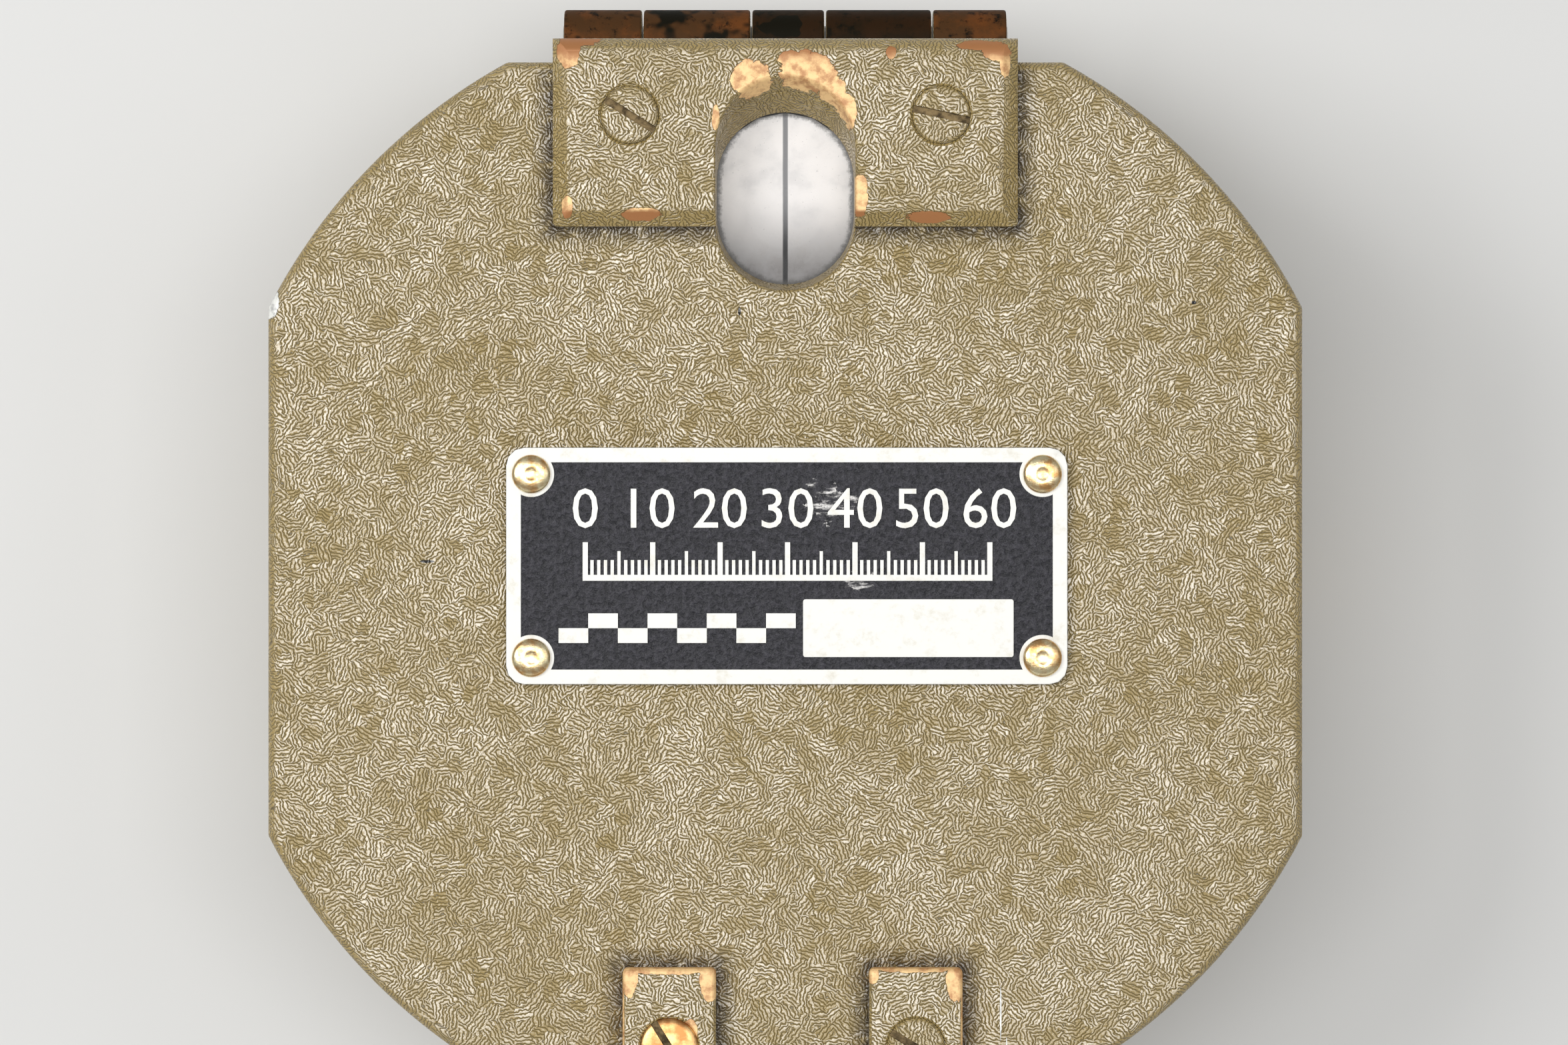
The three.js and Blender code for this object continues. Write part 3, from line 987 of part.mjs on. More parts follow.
// Window glass on its gasket, held down by a split ring
function windowPieces() {
  const gasketLow = WINDOW_LEDGE_HEIGHT + SEAT_GAP;
  const gasket = washer(WINDOW_RADIUS - GASKET_WIDTH, WINDOW_RADIUS, gasketLow, gasketLow + GASKET_THICKNESS);
  const ringLow = WINDOW_TOP + SEAT_GAP;
  const ringTop = ringLow + WINDOW_RING_THICKNESS;
  const ring = cut(washer(WINDOW_RADIUS - WINDOW_RING_WIDTH, WINDOW_RADIUS, ringLow, ringTop),
    block(0, WINDOW_SEAT_RADIUS, -RING_SPLIT / 2, RING_SPLIT / 2, ringLow - OVERRUN, ringTop + OVERRUN));
  return [
    piece("window_gasket", gasket, rubber),
    piece("body_window", disc(WINDOW_RADIUS, WINDOW_LOW, WINDOW_TOP), clearGlass),
    piece("window_retaining_ring", ring, blackPaint),
  ];
}

// Azimuth scale: a flat ring with a sloped inner edge and a crown gear cut on its underside
function azimuthScale() {
  const ring = turned([
    [SCALE_INNER_RADIUS, SCALE_LOW],
    [SCALE_OUTER_RADIUS, SCALE_LOW],
    [SCALE_OUTER_RADIUS, SCALE_TOP],
    [SCALE_INNER_RADIUS + SCALE_BEVEL, SCALE_TOP],
    [SCALE_INNER_RADIUS, SCALE_TOP - SCALE_BEVEL],
  ]);
  const root = TOOTH_ROOT_WIDTH / 2;
  const tip = TOOTH_TIP_WIDTH / 2;
  const toothShape = outline([
    [-root, SCALE_LOW + SEAT_GAP],
    [-tip, SCALE_LOW - TOOTH_HEIGHT],
    [tip, SCALE_LOW - TOOTH_HEIGHT],
    [root, SCALE_LOW + SEAT_GAP],
  ]);
  const toothTurn = Math.PI * 2 / CROWN_TEETH;
  const teeth = [];
  for (let i = 0; i < CROWN_TEETH; i += 1) {
    const geometry = extruded(toothShape, CROWN_WIDTH);
    geometry.rotateX(Math.PI / 2).rotateZ(Math.PI / 2).translate(CROWN_INNER_RADIUS, 0, 0);
    geometry.rotateZ(i * toothTurn + toothTurn / 2);
    teeth.push(solidOf(geometry));
  }
  return piece("azimuth_scale", join(ring, ...teeth), blackPaint);
}

// Pinion outline: straight-sided teeth about the shaft
function pinionShape() {
  const root = PINION_PITCH_RADIUS - PINION_DEDENDUM;
  const tip = PINION_PITCH_RADIUS + PINION_ADDENDUM;
  const corners = [];
  for (let i = 0; i < PINION_TEETH; i += 1) {
    const middle = i / PINION_TEETH * Math.PI * 2;
    const flanks = [
      [root, -PINION_ROOT_WIDTH],
      [tip, -PINION_TIP_WIDTH],
      [tip, PINION_TIP_WIDTH],
      [root, PINION_ROOT_WIDTH],
    ];
    for (const [radius, width] of flanks) {
      const angle = middle + width / (2 * radius);
      corners.push([radius * Math.cos(angle), radius * Math.sin(angle)]);
    }
  }
  return outline(corners);
}

function azimuthAdjuster() {
  const gearGeometry = extruded(pinionShape(), CROWN_WIDTH);
  gearGeometry.rotateY(Math.PI / 2).translate(CROWN_INNER_RADIUS, 0, PINION_Z);
  const headInner = HALF_WIDTH - ADJUSTER_HEAD_THICKNESS;
  const shaft = rodX(ADJUSTER_SHAFT_RADIUS, CROWN_OUTER_RADIUS - SEAT_GAP, headInner + SEAT_GAP, 0, PINION_Z);
  const head = rodX(ADJUSTER_HEAD_RADIUS, headInner, HALF_WIDTH, 0, PINION_Z, MEDIUM_STEPS);
  const slotReach = ADJUSTER_HEAD_RADIUS + OVERRUN;
  const slot = block(HALF_WIDTH - SLOT_DEPTH, HALF_WIDTH + OVERRUN, -slotReach, slotReach,
    PINION_Z - ADJUSTER_SLOT_WIDTH / 2, PINION_Z + ADJUSTER_SLOT_WIDTH / 2);
  return piece("azimuth_adjuster", cut(join(solidOf(gearGeometry), shaft, head), slot), brass);
}

function adjusterBushing() {
  const [x0, x1] = [CROWN_OUTER_RADIUS + SWING_GAP, HALF_WIDTH - ADJUSTER_HEAD_THICKNESS - SWING_GAP];
  const tube = rodX(BUSHING_RADIUS, x0, x1, 0, PINION_Z, MEDIUM_STEPS);
  const bore = rodX(ADJUSTER_SHAFT_RADIUS + HOLE_GAP, x0 - OVERRUN, x1 + OVERRUN, 0, PINION_Z);
  return piece("adjuster_bushing", cut(tube, bore), brass);
}

// Split spring ring over the scale, with the index that the scale is read against
function scaleRetainingRing() {
  const low = SCALE_TOP + HOLE_GAP;
  const high = low + SCALE_RING_THICKNESS;
  const outer = SCALE_SEAT_RADIUS - SEAT_GAP;
  const inner = outer - SCALE_RING_WIDTH;
  const ring = washer(inner, outer, low, high);
  const index = slab(outline([
    [-INDEX_WIDTH / 2, inner + SEAT_GAP],
    [0, inner - INDEX_LENGTH],
    [INDEX_WIDTH / 2, inner + SEAT_GAP],
  ]), low, high);
  const split = block(-RING_SPLIT / 2, RING_SPLIT / 2, -SCALE_SEAT_RADIUS - OVERRUN, 0,
    low - OVERRUN, high + OVERRUN);
  return piece("scale_retaining_ring", cut(join(ring, index), split), steel);
}

function elevationScale() {
  const half = THREE.MathUtils.degToRad(ELEVATION_HALF_DEGREES);
  const down = -Math.PI / 2;
  const shape = new THREE.Shape();
  shape.absarc(0, 0, ELEVATION_OUTER_RADIUS, down - half, down + half);
  shape.absarc(0, 0, ELEVATION_INNER_RADIUS, down + half, down - half, true);
  shape.closePath();
  const low = FLOOR_TOP + SEAT_GAP;
  return piece("elevation_scale", slab(shape, low, low + ELEVATION_THICKNESS, MEDIUM_STEPS / 2), silvered);
}

// Level arm: hub, stem, saddle under the tubular level, pad under the circular one, pointer
function levelArm() {
  const stem = LEVEL_ARM_WIDTH / 2;
  const hub = disc(LEVEL_HUB_RADIUS, LEVEL_PLATE_LOW, LEVEL_PLATE_TOP, MEDIUM_STEPS);
  const stemPlate = block(-stem, stem, -CUP_Y, 0, LEVEL_PLATE_LOW, LEVEL_PLATE_TOP);
  const saddle = block(-TUBE_LENGTH / 2, TUBE_LENGTH / 2, -TUBE_Y - stem, stem - TUBE_Y,
    LEVEL_PLATE_LOW, LEVEL_PLATE_TOP);
  const pad = discAt(0, -CUP_Y, CUP_RADIUS, LEVEL_PLATE_LOW, LEVEL_PLATE_TOP, MEDIUM_STEPS);
  const pointer = slab(outline([
    [-LEVEL_POINTER_WIDTH / 2, -CUP_Y],
    [0, -LEVEL_POINTER_REACH],
    [LEVEL_POINTER_WIDTH / 2, -CUP_Y],
  ]), LEVEL_PLATE_LOW, LEVEL_PLATE_TOP);
  const groove = rodX(TUBE_RADIUS + SEAT_GAP, -TUBE_LENGTH, TUBE_LENGTH, -TUBE_Y, TUBE_Z, MEDIUM_STEPS);
  const holeRadius = SHAFT_NECK_RADIUS + HOLE_GAP;
  const hole = disc(holeRadius, LEVEL_PLATE_LOW - OVERRUN, LEVEL_PLATE_TOP + OVERRUN, SMALL_STEPS);
  return piece("level_arm", cut(join(hub, stemPlate, saddle, pad, pointer), groove, hole), blackPaint);
}

function tubularLevel() {
  const half = TUBE_LENGTH / 2;
  const inner = TUBE_RADIUS - TUBE_WALL;
  const tube = rodX(TUBE_RADIUS, -half, half, -TUBE_Y, TUBE_Z, MEDIUM_STEPS);
  const bore = rodX(inner, -half - OVERRUN, half + OVERRUN, -TUBE_Y, TUBE_Z, MEDIUM_STEPS);
  const windowHalf = TUBE_WINDOW_LENGTH / 2;
  const reach = TUBE_RADIUS + OVERRUN;
  const window = block(-windowHalf, windowHalf, -TUBE_Y - reach, reach - TUBE_Y,
    TUBE_Z + TUBE_WALL, TUBE_Z + reach);
  const vialHalf = half - TUBE_WALL;
  const vialGeometry = turnedGeometry([
    [0, -vialHalf],
    [VIAL_RADIUS - TUBE_WALL, -vialHalf],
    [VIAL_RADIUS, TUBE_WALL - vialHalf],
    [VIAL_RADIUS, vialHalf - TUBE_WALL],
    [VIAL_RADIUS - TUBE_WALL, vialHalf],
    [0, vialHalf],
  ], MEDIUM_STEPS);
  const vial = solidOf(vialGeometry.rotateY(Math.PI / 2).translate(0, -TUBE_Y, TUBE_Z));
  return [
    piece("tubular_level_housing", cut(tube, bore, window), brass),
    piece("tubular_level_vial", vial, levelFluid),
  ];
}

function circularLevel() {
  const low = LEVEL_PLATE_TOP + SEAT_GAP;
  const inner = CUP_RADIUS - CUP_WALL;
  const cup = turned([
    [0, low],
    [CUP_RADIUS, low],
    [CUP_RADIUS, low + CUP_HEIGHT],
    [inner, low + CUP_HEIGHT],
    [inner, low + CUP_FLOOR],
    [0, low + CUP_FLOOR],
  ], MEDIUM_STEPS);
  const lensLow = low + CUP_FLOOR + SEAT_GAP;
  const lensRadius = inner - HOLE_GAP;
  const profile = [[0, lensLow], [lensRadius, lensLow]];
  for (let k = 0; k <= EDGE_STEPS; k += 1) {
    const share = k / EDGE_STEPS;
    const rise = LENS_DOME * (1 - (1 - share) ** 2);
    profile.push([lensRadius * (1 - share), low + CUP_HEIGHT - LENS_DOME + rise]);
  }
  const pieces = [
    piece("circular_level_cup", cup, brass),
    piece("circular_level_lens", turned(profile, MEDIUM_STEPS), levelFluid),
  ];
  pieces.forEach((part) => part.position.set(0, -CUP_Y, 0));
  return pieces;
}

// Shaft of the level arm through the floor, with the needle's pivot on top
function leverShaft() {
  const shoulder = LEVEL_PLATE_LOW - SEAT_GAP;
  const shaft = turned([
    [0, LEVER_LOW],
    [SHAFT_NECK_RADIUS, LEVER_LOW],
    [SHAFT_NECK_RADIUS, LEVER_TOP + SEAT_GAP],
    [SHAFT_RADIUS, LEVER_TOP + SEAT_GAP],
    [SHAFT_RADIUS, shoulder],
    [SHAFT_NECK_RADIUS, shoulder],
    [SHAFT_NECK_RADIUS, LEVEL_PLATE_TOP],
    [0, LEVEL_PLATE_TOP],
  ], SMALL_STEPS);
  const pivot = turned([
    [0, PIVOT_BASE_LOW],
    [PIVOT_BASE_RADIUS, PIVOT_BASE_LOW],
    [PIVOT_BASE_RADIUS, PIVOT_BASE_LOW + PIVOT_BASE_HEIGHT],
    [PIVOT_RADIUS, PIVOT_BASE_LOW + PIVOT_BASE_HEIGHT],
    [PIVOT_RADIUS, PIVOT_TIP - PIVOT_CONE],
    [0, PIVOT_TIP],
  ], SMALL_STEPS);
  return [piece("lever_shaft", shaft, steel), piece("needle_pivot", pivot, steel)];
}

// Lever in the back recess that turns the level arm, with its washer and screw
function actuatingLever() {
  const hub = disc(LEVER_HUB_RADIUS, LEVER_LOW, LEVER_TOP, MEDIUM_STEPS);
  const taper = slab(outline([
    [-LEVER_HUB_RADIUS, 0],
    [-LEVER_TIP_RADIUS, -LEVER_LENGTH + LEVER_TIP_RADIUS],
    [LEVER_TIP_RADIUS, -LEVER_LENGTH + LEVER_TIP_RADIUS],
    [LEVER_HUB_RADIUS, 0],
  ]), LEVER_LOW, LEVER_TOP);
  const tip = discAt(0, LEVER_TIP_RADIUS - LEVER_LENGTH, LEVER_TIP_RADIUS, LEVER_LOW, LEVER_TOP);
  const hole = disc(SHAFT_NECK_RADIUS + HOLE_GAP, LEVER_LOW - OVERRUN, LEVER_TOP + OVERRUN, SMALL_STEPS);
  const washerLow = LEVER_TOP + SEAT_GAP;
  const headTop = LEVER_LOW - SEAT_GAP;
  const head = disc(LEVER_SCREW_RADIUS, headTop - LEVER_SCREW_HEAD, headTop, SMALL_STEPS);
  const slotReach = LEVER_SCREW_RADIUS + OVERRUN;
  const slotTop = headTop - LEVER_SCREW_HEAD / 2;
  const slot = block(-slotReach, slotReach, -SLOT_WIDTH / 2, SLOT_WIDTH / 2, -OVERRUN, slotTop);
  const washerTop = washerLow + WASHER_THICKNESS;
  const ring = washer(SHAFT_RADIUS + HOLE_GAP, WASHER_RADIUS, washerLow, washerTop, MEDIUM_STEPS);
  return [
    piece("actuating_lever", cut(join(hub, taper, tip), hole), blackPaint),
    piece("lever_washer", ring, brass),
    piece("lever_screw", cut(head, slot), steel),
  ];
}

function needleCap() {
  const housing = turned([
    [CAP_BORE_RADIUS, CAP_LOW],
    [CAP_FLANGE_RADIUS, CAP_LOW],
    [CAP_FLANGE_RADIUS, CAP_LOW + CAP_FLANGE_THICKNESS],
    [CAP_RADIUS, CAP_LOW + CAP_FLANGE_THICKNESS],
    [CAP_RADIUS, CAP_TOP - SEAT_GAP * 2],
    [CAP_BORE_RADIUS, CAP_TOP],
    [0, CAP_TOP],
    [0, JEWEL_LOW + JEWEL_THICKNESS + SEAT_GAP],
    [CAP_BORE_RADIUS, JEWEL_LOW + JEWEL_THICKNESS + SEAT_GAP],
  ], MEDIUM_STEPS);
  const jewelRadius = CAP_BORE_RADIUS - SEAT_GAP;
  const jewel = turned([
    [JEWEL_CONE_RADIUS, JEWEL_LOW],
    [jewelRadius, JEWEL_LOW],
    [jewelRadius, JEWEL_LOW + JEWEL_THICKNESS],
    [0, JEWEL_LOW + JEWEL_THICKNESS],
    [0, JEWEL_LOW + JEWEL_CONE_DEPTH],
  ], SMALL_STEPS);
  return [piece("jewel_housing", housing, brass), piece("jewel", jewel, ruby)];
}

// Slim lozenge with a round hub, and the small sleeve that balances it
function magneticNeedle() {
  const waist = NEEDLE_WAIST_WIDTH / 2;
  const blade = slab(outline([
    [0, -NEEDLE_HALF_LENGTH],
    [waist, -NEEDLE_HUB_WIDTH],
    [waist, NEEDLE_HUB_WIDTH],
    [0, NEEDLE_HALF_LENGTH],
    [-waist, NEEDLE_HUB_WIDTH],
    [-waist, -NEEDLE_HUB_WIDTH],
  ]), NEEDLE_LOW, NEEDLE_LOW + NEEDLE_THICKNESS);
  const hub = disc(NEEDLE_HUB_WIDTH / 2, NEEDLE_LOW, NEEDLE_LOW + NEEDLE_THICKNESS, MEDIUM_STEPS);
  const hole = disc(CAP_RADIUS + HOLE_GAP, NEEDLE_LOW - OVERRUN, NEEDLE_LOW + OVERRUN, MEDIUM_STEPS);
  const sleeveHalf = WEIGHT_RADIUS;
  const high = NEEDLE_LOW + NEEDLE_THICKNESS;
  const sleeve = block(-sleeveHalf, sleeveHalf, -WEIGHT_AT - WEIGHT_LENGTH / 2, WEIGHT_LENGTH / 2 - WEIGHT_AT,
    NEEDLE_LOW - NEEDLE_THICKNESS / 2, high + NEEDLE_THICKNESS / 2);
  const passage = block(-waist, waist, -WEIGHT_AT - WEIGHT_LENGTH, WEIGHT_LENGTH - WEIGHT_AT,
    NEEDLE_LOW - SEAT_GAP, high + SEAT_GAP);
  return [
    piece("magnetic_needle", cut(join(blade, hub), hole), steel),
    piece("needle_counterweight", cut(sleeve, passage), brass),
  ];
}

// Lever that lifts the needle: drawn along X, then the group turns it into its corner
function liftingLever() {
  const z0 = LIFTING_LEVER_Z;
  const z1 = LIFTING_LEVER_TOP;
  const forkLow = LIFTING_FORK_TOP - LIFTING_LEVER_THICKNESS;
  const side = outline([
    [LIFTING_LEVER_END, z0],
    [LIFTING_LEVER_END, z1],
    [LIFTING_BEND_OUTER, z1],
    [LIFTING_BEND_INNER, LIFTING_FORK_TOP],
    [LIFTING_FORK_INNER, LIFTING_FORK_TOP],
    [LIFTING_FORK_INNER, forkLow],
    [LIFTING_BEND_INNER, forkLow],
    [LIFTING_BEND_OUTER, z0],
  ]);
  const half = LIFTING_FORK_WIDTH / 2;
  const ribbon = solidOf(extruded(side, LIFTING_FORK_WIDTH).rotateX(Math.PI / 2).translate(0, half, 0));
  const stem = LIFTING_LEVER_WIDTH / 2;
  const bar = block(LIFTING_BEND_INNER, LIFTING_LEVER_END, -stem, stem, 0, BODY_HEIGHT);
  const forkPlan = discAt(LIFTING_FORK_DEPTH, 0, half, 0, BODY_HEIGHT, MEDIUM_STEPS);
  const slot = block(0, LIFTING_FORK_DEPTH, -LIFTING_FORK_SLOT / 2, LIFTING_FORK_SLOT / 2, 0, BODY_HEIGHT);
  const boss = rodY(LIFTING_BOSS_RADIUS, -stem, stem, LEVER_PIVOT_AT, z0);
  const bore = rodY(LIFTING_AXLE_RADIUS + HOLE_GAP, -half, half, LEVER_PIVOT_AT, z0);
  const blade = ribbon.intersect(join(bar, forkPlan));
  return piece("needle_lifting_lever", cut(join(blade, boss), bore, slot), brass);
}

// Saddle on the bowl's floor with two ears and the axle of the lifting lever
function liftingLeverPivot() {
  const low = FLOOR_TOP + SEAT_GAP;
  const base = low + LIFTING_EAR_THICKNESS;
  const inner = LIFTING_LEVER_WIDTH / 2 + SWING_GAP;
  const outer = inner + LIFTING_EAR_THICKNESS;
  const halfBase = LIFTING_BASE_LENGTH / 2;
  const plate = block(LEVER_PIVOT_AT - halfBase, LEVER_PIVOT_AT + halfBase, -outer, outer, low, base);
  const parts = [];
  for (const side of [-1, 1]) {
    const [y0, y1] = side > 0 ? [inner, outer] : [-outer, -inner];
    const half = LIFTING_EAR_WIDTH / 2;
    parts.push(block(LEVER_PIVOT_AT - half, LEVER_PIVOT_AT + half, y0, y1, low, LIFTING_LEVER_Z));
    parts.push(rodY(half, y0, y1, LEVER_PIVOT_AT, LIFTING_LEVER_Z));
  }
  parts.push(rodY(LIFTING_AXLE_RADIUS, -outer, outer, LEVER_PIVOT_AT, LIFTING_LEVER_Z));
  return piece("lifting_lever_pivot", join(plate, ...parts), brass);
}

function lifterPin() {
  const low = LIFTING_LEVER_TOP + HOLE_GAP;
  const high = BODY_HEIGHT + SEAT_GAP;
  const tip = LIFTER_PIN_RADIUS / 2;
  const pin = turned([[0, low], [LIFTER_PIN_RADIUS, low], [LIFTER_PIN_RADIUS, high - SEAT_GAP - tip / 2],
    [tip, high], [0, high]], SMALL_STEPS);
  const mesh = piece("lifter_pin", pin, brass);
  mesh.position.set(LIFTER_PIN_AT, 0, 0);
  return mesh;
}

// Coil spring under the lever's outer end
class SpringCurve extends THREE.Curve {
  getPoint(t, target = new THREE.Vector3()) {
    const angle = t * SPRING_TURNS * Math.PI * 2;
    const top = LIFTING_LEVER_Z - SWING_GAP - SPRING_WIRE_RADIUS;
    return target.set(SPRING_RADIUS * Math.cos(angle), SPRING_RADIUS * Math.sin(angle),
      THREE.MathUtils.lerp(SPRING_LOW, top, t));
  }
}

function lifterSpring() {
  const wire = new THREE.Shape();
  wire.absarc(0, 0, SPRING_WIRE_RADIUS, 0, Math.PI * 2);
  const geometry = new THREE.ExtrudeGeometry(wire, {
    extrudePath: new SpringCurve(),
    steps: SPRING_TURNS * SPRING_STEPS_PER_TURN,
    curveSegments: SPRING_SIDES / 2,
  });
  const mesh = piece("lifter_spring", solidOf(geometry), steel);
  mesh.position.set(LIFTER_PIN_AT, 0, 0);
  return mesh;
}

// The assembly: body pieces stand on the back, cover pieces are measured up from the rim
const compass = new THREE.Group();
compass.name = "military_compass";

const bodyGroup = new THREE.Group();
bodyGroup.add(compassBody(), bodyHingeLeaf(), ...wallScrews(), coverHingePin(), ...windowPieces());
bodyGroup.add(scaleRetainingRing(), elevationScale(), adjusterBushing());
bodyGroup.add(rearSightBracket(), rearSightHingePin());
bodyGroup.add(azimuthScale(), azimuthAdjuster(), levelArm(), ...tubularLevel(), ...circularLevel());
bodyGroup.add(...leverShaft(), ...actuatingLever(), ...needleCap(), ...magneticNeedle());
bodyGroup.add(rearSightHolder(), rearSightLeafPin(), rearSightLeaf());

const lifterGroup = new THREE.Group();
lifterGroup.rotation.z = LIFTER_RADIANS;
lifterGroup.add(liftingLever(), liftingLeverPivot(), lifterPin(), lifterSpring());

const coverGroup = new THREE.Group();
coverGroup.position.z = BODY_HEIGHT;
coverGroup.add(cover(), coverHingeLeaf(), ...mirrorPieces(), dataPlate(), ...rivets());
coverGroup.add(frontSightBracket("front_sight_bracket_left", BRACKET_LEFT_X));
coverGroup.add(frontSightBracket("front_sight_bracket_right", BRACKET_RIGHT_X));
coverGroup.add(...coverScrews(), frontSightPin(), frontSight());

compass.add(bodyGroup, lifterGroup, coverGroup);

export default compass;
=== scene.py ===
# A closed military pocket compass in olive wrinkle paint, seen straight from above.
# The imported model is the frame; this script gives every piece its fine shape and finish.
import math

import bmesh
import bpy
from mathutils import Matrix, Vector


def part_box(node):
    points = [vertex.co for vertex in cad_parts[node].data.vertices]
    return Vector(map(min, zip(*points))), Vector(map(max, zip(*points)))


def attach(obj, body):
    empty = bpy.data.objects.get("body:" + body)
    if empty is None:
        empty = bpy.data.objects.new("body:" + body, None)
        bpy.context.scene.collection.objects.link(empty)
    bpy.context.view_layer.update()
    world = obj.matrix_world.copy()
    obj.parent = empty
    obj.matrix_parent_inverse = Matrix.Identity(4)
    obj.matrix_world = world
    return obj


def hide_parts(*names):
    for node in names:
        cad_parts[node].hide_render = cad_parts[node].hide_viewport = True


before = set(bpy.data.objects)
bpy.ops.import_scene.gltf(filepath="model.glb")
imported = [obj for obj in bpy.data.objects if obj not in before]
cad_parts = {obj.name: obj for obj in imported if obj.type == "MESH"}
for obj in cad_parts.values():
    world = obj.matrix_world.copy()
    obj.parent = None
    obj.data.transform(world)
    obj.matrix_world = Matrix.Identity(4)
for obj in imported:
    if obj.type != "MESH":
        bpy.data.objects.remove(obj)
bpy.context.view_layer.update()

scene = bpy.context.scene
scene.view_settings.view_transform = "Standard"
MM = 0.001

# Camera
# It looks straight down at the cover, as the photo does, from a copying stand's distance.
# The cover's width and middle in the photo give it its lens and its place.
PHOTO_WIDTH_PX = 2352
PHOTO_HEIGHT_PX = 1568
COVER_MIDDLE_PX = (1178, 858)
PX_PER_MM = 22.2
CAMERA_DISTANCE = 400 * MM
SENSOR_WIDTH_MM = 36
cover_low, cover_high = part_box("cover")
lens_data = bpy.data.cameras.new("copy_camera")
lens_data.sensor_width = SENSOR_WIDTH_MM
lens_data.lens = SENSOR_WIDTH_MM * CAMERA_DISTANCE / (PHOTO_WIDTH_PX / PX_PER_MM * MM)
camera = bpy.data.objects.new("copy_camera", lens_data)
camera.location = (
    (PHOTO_WIDTH_PX / 2 - COVER_MIDDLE_PX[0]) / PX_PER_MM * MM,
    (COVER_MIDDLE_PX[1] - PHOTO_HEIGHT_PX / 2) / PX_PER_MM * MM,
    cover_high.z + CAMERA_DISTANCE,
)
scene.collection.objects.link(camera)
scene.camera = camera

# Studio
# A pale floor of seamless paper under a softbox on each side, a long one overhead, a low one in
# front and a faint white surround. The two classes here build every finish of the script.
SOFTBOXES = (
    ("softbox_left", (-0.34, 0.10, 0.42), (0.22, 0.22), 1.16),
    ("softbox_right", (0.34, 0.06, 0.42), (0.22, 0.22), 0.2),
    ("softbox_over", (0.0, 0.04, 0.60), (0.50, 0.16), 1.5),
    ("softbox_front", (0.0, -0.45, 0.24), (0.90, 0.08), 0.2),
)
SURROUND_STRENGTH = 0.33
PAPER_SIZE = 6


def srgb(red, green, blue):
    """Colour as a picture shows it, 0 to 255, turned into the linear numbers a shader needs."""
    shares = [channel / 255 for channel in (red, green, blue)]
    return tuple(s / 12.92 if s <= 0.04045 else ((s + 0.055) / 1.055) ** 2.4 for s in shares) + (1,)


for name, place, size, power in SOFTBOXES:
    light = bpy.data.lights.new(name, "AREA")
    light.shape = "RECTANGLE"
    light.size, light.size_y = size
    light.energy = power
    lamp = bpy.data.objects.new(name, light)
    lamp.location = place
    lamp.rotation_mode = "QUATERNION"
    lamp.rotation_quaternion = (-Vector(place)).to_track_quat("-Z", "Y")
    scene.collection.objects.link(lamp)
surround = bpy.data.worlds.new("surround")
scene.world = surround
surround.use_nodes = True
surround.node_tree.nodes["Background"].inputs["Color"].default_value = (1, 1, 1, 1)
surround.node_tree.nodes["Background"].inputs["Strength"].default_value = SURROUND_STRENGTH


class Value:
    """A socket of a finish's node tree. Sums on values add their Math nodes."""

    def __init__(self, finish, socket):
        self.finish, self.socket = finish, socket

    def math(self, operation, *others):
        inputs = dict(enumerate((self, *others)))
        return self.finish.node("ShaderNodeMath", {"operation": operation}, inputs)

    def __add__(self, other):
        return self.math("ADD", other)

    def __radd__(self, other):
        return self.math("ADD", other)

    def __sub__(self, other):
        return self.math("SUBTRACT", other)

    def __rsub__(self, other):
        return self.math("MULTIPLY_ADD", -1, other)

    def __mul__(self, other):
        return self.math("MULTIPLY", other)

    def __rmul__(self, other):
        return self.math("MULTIPLY", other)

    def __abs__(self):
        return self.math("ABSOLUTE")

    def least(self, other):
        return self.math("MINIMUM", other)

    def most(self, other):
        return self.math("MAXIMUM", other)

    def between(self, low, high):
        """0 below low and 1 above high, with a soft step between; low may be the larger."""
        inputs = {"Value": self, "From Min": low, "From Max": high}
        return self.finish.node("ShaderNodeMapRange", {"interpolation_type": "SMOOTHSTEP"}, inputs)


